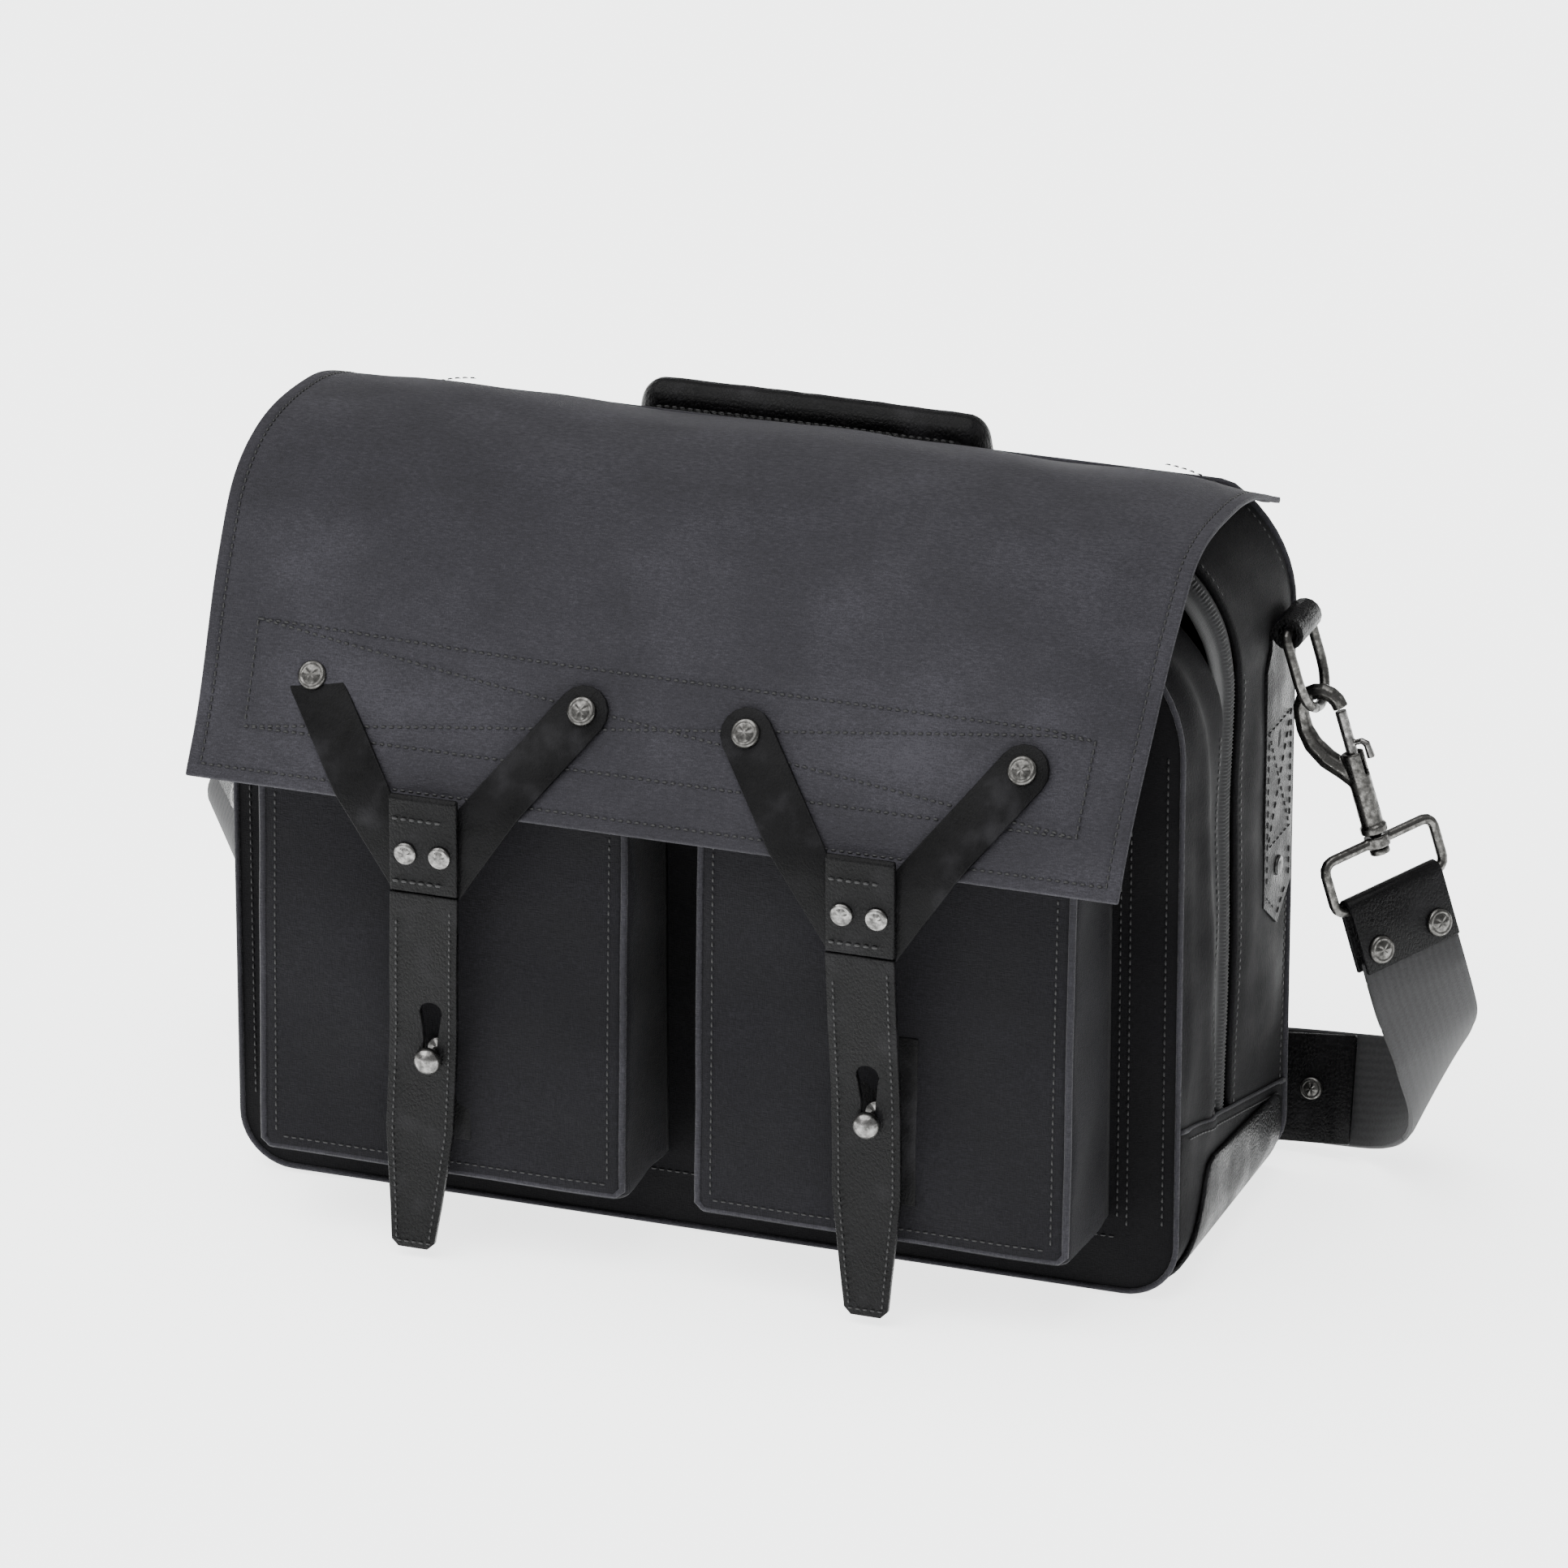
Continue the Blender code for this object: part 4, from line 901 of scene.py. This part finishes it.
# ---- Body -------------------------------------------------------------------
RIDGE_RISE, RIDGE_WIDTH = 0.0028, 0.007
SIDE_SEED = 21
BOOT_FRONT, BOOT_FALL = 0.074, 0.034
SEAM_SINK = 0.0072
PATCH_TOP, PATCH_CORNER = 0.050, 0.008


def side_path(top, low):
    """Half outline of the body's side, from a height up and round the upper corner."""
    centre = (HALF - TOP_RADIUS, top - TOP_RADIUS)
    path = [(HALF, z) for z in np.linspace(low, centre[1], 34)][:-1]
    return path + arc(centre, TOP_RADIUS, 0, 90, CORNER_STEPS)


def side_bulge(x, y, z):
    """How far the side's cloth stands out, with its fold ridge and slack creases."""
    up = ease(0.03, 0.12, z) * ease(0.30, 0.22, z)
    ridge_y = -0.034 - (z - 0.057) * 0.11
    ridge = RIDGE_RISE * math.exp(-((y - ridge_y) / RIDGE_WIDTH) ** 2)
    ridge *= ease(0.05, 0.08, z) * ease(0.29, 0.25, z) if y < -0.028 else 0.0
    slack = 0.0022 * crumple(y * 1.3, z * 0.55, 0, 0.030, SIDE_SEED + (x > 0)) * up
    seam = ease(0.0, 0.010, y - FRONT_Y) * ease(0.0, 0.010, BACK_Y - y)
    return (0.0020 * up + slack + ridge) * seam


def side_strip(side, top, low, front, rear, inset, columns, thickness):
    """A band of cloth up one side and round its corner; low gives the foot at each depth."""
    depths = np.linspace(front, rear, columns)
    grid = []
    base = side_path(top, 0.0)
    count = len(base) - CORNER_STEPS
    for k in range(len(base)):
        row = []
        for y in depths:
            x, z = base[k]
            nx, nz = 1.0, 0.0
            if k >= count:
                angle = math.radians(90 * (k - count) / CORNER_STEPS)
                nx, nz = math.cos(angle), math.sin(angle)
            foot = low(y)
            if k < count:
                z = foot + (base[count][1] - foot) * k / count
            out = side_bulge(side * x, y, z) - inset
            row.append((side * (x + nx * out), y, min(z + nz * out, back_limit(y))))
        grid.append(row)
    return band(np.array(grid), thickness, flip=side > 0)


def boot_edge(y):
    """Height of the boot's upper edge on the sides: it falls towards the back."""
    return BOOT_FRONT - (y - FRONT_Y) / (BACK_Y - FRONT_Y) * BOOT_FALL


def back_limit(y):
    """The highest that the body reaches: it sinks towards the flap's seam."""
    return BACK_TOP - SEAM_SINK * ease(0.0, 0.06, y)


def make_panels():
    """Front and back: flat plates with round corners, softly puffed."""
    for node, y, top, way in (("front_panel", FRONT_Y, FRONT_TOP, 1), ("back_panel", BACK_Y, BACK_TOP, -1)):
        outline = (
            arc((HALF - FOOT_RADIUS, FOOT + FOOT_RADIUS), FOOT_RADIUS, -90, 0)
            + arc((HALF - TOP_RADIUS, top - TOP_RADIUS), TOP_RADIUS, 0, 90, CORNER_STEPS)
            + arc((TOP_RADIUS - HALF, top - TOP_RADIUS), TOP_RADIUS, 90, 180, CORNER_STEPS)
            + arc((FOOT_RADIUS - HALF, FOOT + FOOT_RADIUS), FOOT_RADIUS, 180, 270)
        )
        form = welded(outline_mesh([outline], CLOTH / 2, 0.0008), OUTLINE_WELD)
        for axis, low, high in ((0, -HALF, HALF), (2, FOOT, top)):
            sliced(form, axis, np.linspace(low, high, 34)[1:-1])
        for corner in form.verts:
            x, _, z = corner.co
            inside = ease(0.0, 0.05, HALF - abs(x)) * ease(0.0, 0.05, z - FOOT) * ease(0.0, 0.05, top - z)
            puff = 0.0 if way > 0 else 0.0040 * inside + 0.0016 * crumple(x, z, 0, 0.09, 31) * inside
            corner.co.y += y + way * CLOTH / 2 + puff
            corner.co.z = min(z, back_limit(y))
        cloth(node, mesh_from(form), SHADED_BODY_CANVAS)
        loop = [(x, y - way * 0.0003, min(z, back_limit(y))) for x, z in outline]
        roll = 0.0017 if way < 0 else 0.0012
        piece(f"{node}_piping", tube(loop, roll, 8, closed=True), PIPING, "root")
    rows = []
    for side in (-1, 1):
        heights = np.linspace(FRONT_TOP - TOP_RADIUS, 0.03, 60)
        rows.append(faced([(side * (HALF - 0.006), FRONT_Y - 0.0002, z) for z in heights], FORWARD))
    rows.append(faced([(x, FRONT_Y - 0.0002, 0.0255) for x in np.linspace(-0.178, 0.178, 90)], FORWARD))
    stitching("front_panel_stitches", rows, "root", "canvas", radius=FINE)


def make_sides():
    for name, side in SIDES:
        front_rear, zip_front, zip_rear = -0.0283, -0.0280, -0.0040
        mesh = side_strip(side, FRONT_TOP, boot_edge, FRONT_Y + 0.0008, front_rear, 0.0, 26, CLOTH * 0.9)
        cloth(f"front_gusset_{name}", mesh, SHADED_BODY_CANVAS)
        mesh = side_strip(side, BACK_TOP, boot_edge, zip_rear + 0.0003, BACK_Y - 0.0008, 0.0, 30, CLOTH * 0.9)
        cloth(f"rear_gusset_{name}", mesh, SHADED_BODY_CANVAS)
        make_zip(name, side, zip_front, zip_rear)
        rows = []
        seams = (front_rear - 0.003, FRONT_TOP), (zip_rear + 0.004, BACK_TOP), (BACK_Y - 0.006, BACK_TOP)
        for y, top in seams:
            path = []
            for x, z in side_path(top, boot_edge(y) + 0.002):
                out = side_bulge(side * x, y, z)
                upright = z < top - TOP_RADIUS
                path.append((side * (x + out), y, z) if upright else (side * x, y, z + out * 0.2))
            facing = [(side, 0, 0) if z < top - TOP_RADIUS * 0.6 else (side, 0, 1) for _, _, z in path]
            rows.append((path, facing))
        stitching(f"side_{name}_stitches", rows, "root", "canvas", radius=FINE)


def make_zip(name, side, front, rear):
    """Tape with the ribs of a reversed coil down its middle."""
    coil = (front + rear) / 2 + 0.0025
    path = smooth_path([(x, 0, z) for x, z in side_path(BACK_TOP, boot_edge(coil))][::3], 40)
    depths = np.concatenate([np.linspace(front, coil - 0.0034, 4), np.linspace(coil - 0.003, coil + 0.003, 9),
                             np.linspace(coil + 0.0034, rear, 4)])
    run, grid = 0.0, []
    centre = Vector((HALF - TOP_RADIUS, 0, BACK_TOP - TOP_RADIUS))
    for k, point in enumerate(path):
        run += (point - path[k - 1]).length if k else 0.0
        out = Vector((1, 0, 0)) if point.z <= centre.z else (point - centre).normalized()
        row = []
        for y in depths:
            crown = ease(0.0034, 0.0026, abs(y - coil))
            rib = 0.00045 * math.sin(run / 0.0016 * 2 * math.pi) * crown
            lift = -0.0026 + 0.0022 * crown + rib + side_bulge(side, y, point.z) * 0.7
            row.append((side * (point.x + out.x * lift), y, point.z + out.z * lift))
        grid.append(row)
    mesh = band(np.array(grid), 0.0012, flip=side > 0)
    piece(f"zip_{name}_tape", mesh, ZIP_TAPE, "root", (f"zip_{name}",))


def foot_path(out, high):
    """The outline under the body, from a height on the right side to the same on the left."""
    half = HALF + out
    radius = FOOT_RADIUS + out
    low = FOOT - out
    right = arc((HALF - FOOT_RADIUS, FOOT + FOOT_RADIUS), radius, 0, -90, 12)
    left = [(-x, z) for x, z in right][::-1]
    flat = [(x, low) for x in np.linspace(HALF - FOOT_RADIUS, FOOT_RADIUS - HALF, 40)][1:-1]
    rise = [(half, z) for z in np.linspace(high, FOOT + FOOT_RADIUS, 14)][:-1]
    fall = [(-half, z) for z in np.linspace(FOOT + FOOT_RADIUS, high, 14)][1:]
    return rise + right + flat + left + fall


def make_base():
    depths = np.linspace(FRONT_Y + 0.0008, BACK_Y - 0.0008, 34)
    grid = [foot_path(0.0, boot_edge(y)) for y in depths]
    rows = []
    for k in range(len(grid[0])):
        row = []
        for y, path in zip(depths, grid):
            x, z = path[k]
            soft = side_bulge(x, y, z) + 0.0016 * ease(0.0, 0.012, y - FRONT_Y) * ease(0.0, 0.012, BACK_Y - y)
            soft *= ease(0.012, 0.03, z)
            row.append((x + math.copysign(soft, x), y, z))
        rows.append(row)
    mesh = band(np.array(rows), CLOTH * 0.9)
    cloth("base_boot", mesh, SHADED_BODY_CANVAS)
    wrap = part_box("leather_base")
    out = FOOT
    rows = []
    columns = np.linspace(-1, 1, 26)
    for x, z in foot_path(out, PATCH_TOP):
        row = []
        for share in columns:
            front = wrap[0][1] + 0.016 * ease(0.012, 0.048, z)
            rear = wrap[1][1] - 0.001
            slip = max(PATCH_CORNER - (PATCH_TOP - z), 0.0)
            nip = PATCH_CORNER - math.sqrt(max(PATCH_CORNER**2 - slip**2, 0.0))
            y = front + nip + (rear - front - 2 * nip) * (share + 1) / 2
            fall = (y - front) * 0.085 * ease(0.03, 0.05, z)
            soft = side_bulge(x, y, z) * 0.5 * ease(0.015, 0.04, z) + 0.0012 * ease(0.012, 0.03, z)
            row.append((x + math.copysign(soft, x), y, z - fall))
        rows.append(row)
    mesh = band(np.array(rows), 0.0020)
    piece("leather_base_hide", mesh, CRACKED, "root", ("leather_base",))
    for name, side in SIDES:
        path = []
        for y in depths[2:-2]:
            z = boot_edge(y) - 0.0035
            path.append((side * (HALF + side_bulge(side, y, z) + 0.0018), y, z))
        stitching(f"boot_{name}_stitches", [faced(path, (side, 0, 0))], "root", "canvas", radius=FINE)
        seam = [(side * (HALF + side_bulge(side, y, boot_edge(y)) + 0.0004), y, boot_edge(y)) for y in depths]
        piece(f"boot_{name}_seam", tube(seam, 0.0011, 8), PIPING, "root")
    refined("base_board", BOARD, "root", suffix="stiffener")


PAD_FRAMES, PAD_REACH = 12, 0.0016


def make_divider():
    """A padded divider, filled by a short cloth simulation under pressure."""
    low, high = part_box("laptop_divider")
    form = bmesh.new()
    bmesh.ops.create_cube(form, size=1.0)
    size = [(b - a) * 0.94 for a, b in zip(low, high)]
    size[1] = (high[1] - low[1]) * 0.45
    middle = middle_of("laptop_divider")
    for corner in form.verts:
        corner.co = [c * s + m for c, s, m in zip(corner.co, size, middle)]
    made = piece("laptop_divider_pad", mesh_from(form), LINING, "root", ("laptop_divider",))
    voxelled(made, 0.0016)
    settle(made)
    pad = made.modifiers.new("cloth", "CLOTH")
    pad.settings.use_pressure = True
    pad.settings.uniform_pressure_force = 3.0
    pad.settings.effector_weights.gravity = 0.0
    pad.point_cache.frame_start = 1
    pad.point_cache.frame_end = PAD_FRAMES
    rest = np.array([v.co for v in made.data.vertices])
    for step in range(1, PAD_FRAMES + 1):
        bpy.context.scene.frame_set(step)
    settle(made)
    moved = np.array([v.co for v in made.data.vertices])
    bpy.context.scene.frame_set(1)
    reach = moved - rest
    length = np.linalg.norm(reach, axis=1, keepdims=True)
    moved = rest + reach * np.minimum(1.0, PAD_REACH / np.maximum(length, 1e-9))
    made.data.vertices.foreach_set("co", moved.ravel())
    made.data.shade_smooth()


# ---- Handle -----------------------------------------------------------------
def make_handle():
    """Leather folded round a cord, with pinched ends that drop to the anchors."""
    low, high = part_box("handle_grip")
    (centre, y, _), reach = middle_of("handle_grip"), (high[0] - low[0]) / 2
    rise = high[2] - 0.0104
    half = [(reach, low[2] + 0.002, 0.0036), (reach - 0.003, rise - 0.0075, 0.0056),
            (reach - 0.007, rise - 0.0012, 0.0078), (reach - 0.012, rise, 0.0080),
            (0.045, rise, 0.0080), (0.022, rise + 0.0003, 0.0080)]
    stations = [(centre - x, z, r) for x, z, r in half] + [(centre + x, z, r) for x, z, r in half[::-1]]
    path = smooth_path([(x, y, z) for x, z, _ in stations], 8)
    scale = smooth_path([(r, 0, 0) for _, _, r in stations], 8)
    radii = [r.x * (1 + 0.03 * crumple(p.x, 0, 0, 0.008, 1)) for r, p in zip(scale, path)]
    made = piece("handle_grip_leather", tube(path, radii, 20), GLOSSY, "handle", ("handle_grip",))
    row = [p + Vector((0, -0.0078, -0.0015)) for p in path[18:-18]]
    stitching("handle_stitches", [faced(row, FORWARD)], "handle", "leather")
    for name, side in SIDES:
        refined(f"handle_anchor_{name}", SMOOTH, "root")
        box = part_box(f"handle_anchor_{name}")
        y = box[0][1] + 0.0024
        left, right, low, top = box[0][0] + 0.003, box[1][0] - 0.003, box[0][2] + 0.003, 0.279
        corners = [(left, low), (right, low), (right, top), (left, top), (left, low)]
        paths = [[(xa + (xb - xa) * t, y, za + (zb - za) * t) for t in np.linspace(0, 1, 10)]
                 for (xa, za), (xb, zb) in list(zip(corners, corners[1:])) + [
                     (corners[0], corners[2]), (corners[1], corners[3])]]
        stitching(f"handle_anchor_{name}_stitches", [faced(p, BACKWARD) for p in paths], "root", "leather")


# ---- Side hardware ----------------------------------------------------------
def hardware_frame(name, side):
    """Turns hardware coordinates (out, along the loop, down) into the bag's own."""
    loop = Vector(JOINTS[f"ring_swing_{name}"]["pos_m"])
    down = Vector(JOINTS[f"gate_slide_{name}"]["axis"]).normalized()
    out = Vector((-down.z * side, 0, down.x * side))
    return Matrix.Translation(loop) @ Matrix((out, down.cross(out), down)).transposed().to_4x4()


FRAME_FOOT, TAB_DROP, TAB_HALF = 0.079, 0.027, 0.0228
BEND_DROP = 0.0374
BARREL_OUT = 0.008
TURN = math.radians(52)


def clip_frame(name, side):
    place = hardware_frame(name, side) @ Matrix.Translation((0, 0, BEND_DROP))
    return place @ Matrix.Translation((BARREL_OUT, 0, 0)) @ Matrix.Rotation(-TURN * side, 4, "Z")


# Part, suffix, finish, body, voxel size, smoothing passes
CASTINGS = (
    ("ring", "wire", NICKEL, "ring", 0.00045, 10),
    ("hook", "casting", NICKEL, "hook", 0.00042, 9),
    ("gate", "bolt", BRIGHT, "gate", 0.00032, 5),
    ("strap_frame", "casting", NICKEL, "clip", 0.00045, 9),
    ("zip_slider", "casting", DARK, "zip_slider", 0.00035, 5),
)


def make_hardware():
    for name, side in SIDES:
        refined(f"side_strap_{name}", CRACKED, "root", 0.0007)
        strap_stitches(name, side)
        for part, suffix, finish, body, voxel, passes in CASTINGS:
            cast(f"{part}_{name}", suffix, finish, f"{body}_{name}", voxel, passes)
        refined(f"strap_tab_{name}", GLOSSY, f"clip_{name}")
        for where in ("front", "rear"):
            rivet(f"tab_rivet_{name}_{where}", f"clip_{name}", NICKEL)


def strap_stitches(name, side):
    """Box-X stitching and a small dark rivet on the side strap."""
    x = side * (HALF + 0.0003 + 0.0023)
    mid = middle_of(f"side_strap_{name}")[1]
    half = 0.0145
    near, far = mid - half, mid + half
    box = [(near, 0.205), (far, 0.205), (far, 0.155), (near, 0.155), (near, 0.205)]
    foot = [(near, 0.152), (near, 0.134), (mid, 0.1225), (far, 0.134), (far, 0.152)]
    runs = list(zip(box, box[1:])) + [(box[0], box[2]), (box[1], box[3])] + list(zip(foot, foot[1:]))
    rows = []
    for (ya, za), (yb, zb) in runs:
        path = [(x, ya + (yb - ya) * t, za + (zb - za) * t) for t in np.linspace(0, 1, 12)]
        rows.append(faced(path, (side, 0, 0)))
    stitching(f"side_strap_{name}_stitches", rows, "root", "leather",
              pitch=0.0048, length=0.0030, radius=0.00030)
    radius = 0.0042
    profile = [(r * radius, h * radius) for r, h in RIVET_PROFILE]
    mesh = turned(profile, Vector((x - side * 0.0002, mid, 0.143)), (side, 0, 0))
    piece(f"side_strap_{name}_rivet", mesh, DARK, "root")


# ---- Shoulder strap ---------------------------------------------------------
WEB_WIDTH, WEB_THICKNESS = 0.0450, 0.0024


def strap_end(name, side):
    here = clip_frame(name, side)
    start = here @ Vector((0, 0, FRAME_FOOT + TAB_DROP - 0.004))
    leave = here @ Vector((0, 0, FRAME_FOOT + TAB_DROP + 0.014))
    return start, leave, (here.to_3x3() @ Vector((1, 0, 0))) * side


def strap_sections(steps):
    """Middle, width direction and face direction along the webbing, right end to left."""
    start, leave, across = strap_end("right", 1)
    stations = [(start, across), (leave, across)]
    stations += [(Vector(a), Vector(b)) for a, b in (
        ((0.2665, 0.0580, 0.0740), (0.45, 0.88, 0.15)),
        ((0.2630, 0.0740, 0.0520), (0.20, 0.92, 0.33)),
        ((0.2520, 0.0900, 0.0350), (0.08, 0.80, 0.60)),
        ((0.2300, 0.0990, 0.0270), (0.05, 0.45, 0.89)),
        ((0.1950, 0.0990, 0.0250), (0.0, 0.22, 0.98)),
        ((0.1500, 0.0940, 0.0245), (0.0, 0.10, 1.0)),
        ((0.0750, 0.0890, 0.0245), (0.0, 0.05, 1.0)),
        ((0.0000, 0.0880, 0.0245), (0.0, 0.03, 1.0)),
        ((-0.0750, 0.0900, 0.0245), (0.0, 0.05, 1.0)),
        ((-0.1400, 0.0960, 0.0250), (0.0, 0.15, 0.99)),
        ((-0.1850, 0.1010, 0.0265), (0.0, 0.45, 0.89)),
        ((-0.2180, 0.0970, 0.0320), (0.05, 0.85, 0.52)),
        ((-0.2400, 0.0830, 0.0480), (0.0, 0.97, 0.25)),
        ((-0.2490, 0.0640, 0.0740), (-0.3, 0.93, 0.15)),
    )]
    start, leave, across = strap_end("left", -1)
    stations += [(leave, -across), (start, -across)]
    middles = smooth_path([s[0] for s in stations], steps)
    widths = smooth_path([s[1].normalized() for s in stations], steps)
    sections = []
    for i, (middle, width) in enumerate(zip(middles, widths)):
        along = (middles[min(i + 1, len(middles) - 1)] - middles[max(i - 1, 0)]).normalized()
        width = (width - along * width.dot(along)).normalized()
        sections.append((middle, width, along.cross(width)))
    return sections


STRAP_STEPS = 24


def web(sections):
    """A strip of webbing with a soft crown and thin edges."""
    grid = []
    for middle, across, face in sections:
        row = []
        for share in (-1.0, -0.97, -0.9, -0.7, -0.35, 0.0, 0.35, 0.7, 0.9, 0.97, 1.0):
            crown = WEB_THICKNESS / 2 - 0.0006 * ease(0.88, 1.0, abs(share))
            row.append(middle + across * (share * WEB_WIDTH / 2) + face * crown)
        grid.append(row)
    return band(np.array(grid), WEB_THICKNESS * 0.95, flip=True)


def make_strap():
    """The webbing, cut where it is carried by the ring, the hook and the clip in turn."""
    sections = strap_sections(STRAP_STEPS)
    last = len(sections) - 1
    cuts = {"clip": 12, "hook": 30, "ring": 4 * STRAP_STEPS}
    chain = (("clip", "hook", 0, cuts["clip"]), ("hook", "ring", cuts["clip"], cuts["hook"]),
             ("ring", "root", cuts["hook"], cuts["ring"]))
    for name, side in SIDES:
        for upper, lower, first, final in chain:
            span = sections[first:final + 1] if side > 0 else sections[last - final:last - first + 1]
            nodes = ("strap_webbing",) if upper == "ring" and side > 0 else ()
            made = piece(f"webbing_{name}_{upper}", web(span), WEBBING, None, nodes)
            made.data.set_sharp_from_angle(angle=math.radians(40))
            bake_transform(made)
    piece("webbing_run", web(sections[cuts["ring"]:last - cuts["ring"] + 1]), WEBBING, "root")
    refined("strap_keeper", GLOSSY, "root")
    rivet("keeper_rivet", "root", NICKEL)


# ---- Studio -----------------------------------------------------------------
CAMERA_TARGET = Vector((0.0566, -0.130, 0.2256))
CAMERA_DISTANCE = 4.129
CAMERA_AZIMUTH = math.radians(20)
CAMERA_ELEVATION = math.radians(22)
CAMERA_LENS = 244.2
SKY_ENERGY, SKY_ANGLE = 5.0, math.radians(75)


def aim(thing, target):
    thing.rotation_euler = (Vector(target) - thing.location).to_track_quat("-Z", "Y").to_euler()


def area_light(name, place, size, power):
    light = bpy.data.lights.new(name, "AREA")
    light.shape = "RECTANGLE"
    light.size, light.size_y = size
    light.energy = power
    made = shown(name, light)
    made.location = place
    aim(made, (0, 0, 0.15))


def make_studio():
    form = bmesh.new()
    bmesh.ops.create_grid(form, x_segments=8, y_segments=8, size=9.0)
    mesh = bpy.data.meshes.new("floor")
    form.to_mesh(mesh)
    form.free()
    floor = shown("floor", mesh)
    made, _, shader = shader_of("pale_floor", (0.90, 0.915, 0.910), 0.9)
    put(shader, Emission_Color=(0.957, 0.965, 0.962, 1), Emission_Strength=2.6)
    mesh.materials.append(made)
    world = bpy.data.worlds.new("studio")
    world.use_nodes = True
    put(world.node_tree.nodes["Background"], Color=(0.95, 0.955, 0.96, 1), Strength=0.45)
    bpy.context.scene.world = world
    sky = bpy.data.lights.new("sky", "SUN")
    sky.energy, sky.angle = SKY_ENERGY, SKY_ANGLE
    made = shown("sky", sky)
    made.location = (-0.9, -0.7, 3.0)
    aim(made, (0, 0, 0))
    area_light("rim", (1.9, 1.0, 1.7), (1.0, 1.4), 4)
    area_light("fill", (-1.2, -2.6, 1.2), (1.0, 1.4), 8)
    camera = shown("camera", bpy.data.cameras.new("camera"))
    camera.data.lens = CAMERA_LENS
    camera.data.sensor_width = 36.0
    camera.data.clip_end = 50.0
    way = Vector((math.sin(CAMERA_AZIMUTH) * math.cos(CAMERA_ELEVATION),
                  -math.cos(CAMERA_AZIMUTH) * math.cos(CAMERA_ELEVATION), math.sin(CAMERA_ELEVATION)))
    camera.location = CAMERA_TARGET + way * CAMERA_DISTANCE
    aim(camera, CAMERA_TARGET)
    bpy.context.scene.camera = camera


make_studio()
make_panels()
make_sides()
make_base()
make_divider()
for pocket_name, pocket_side in SIDES:
    make_pocket(pocket_name, pocket_side)
make_flap()
make_yokes()
make_handle()
make_hardware()
make_strap()
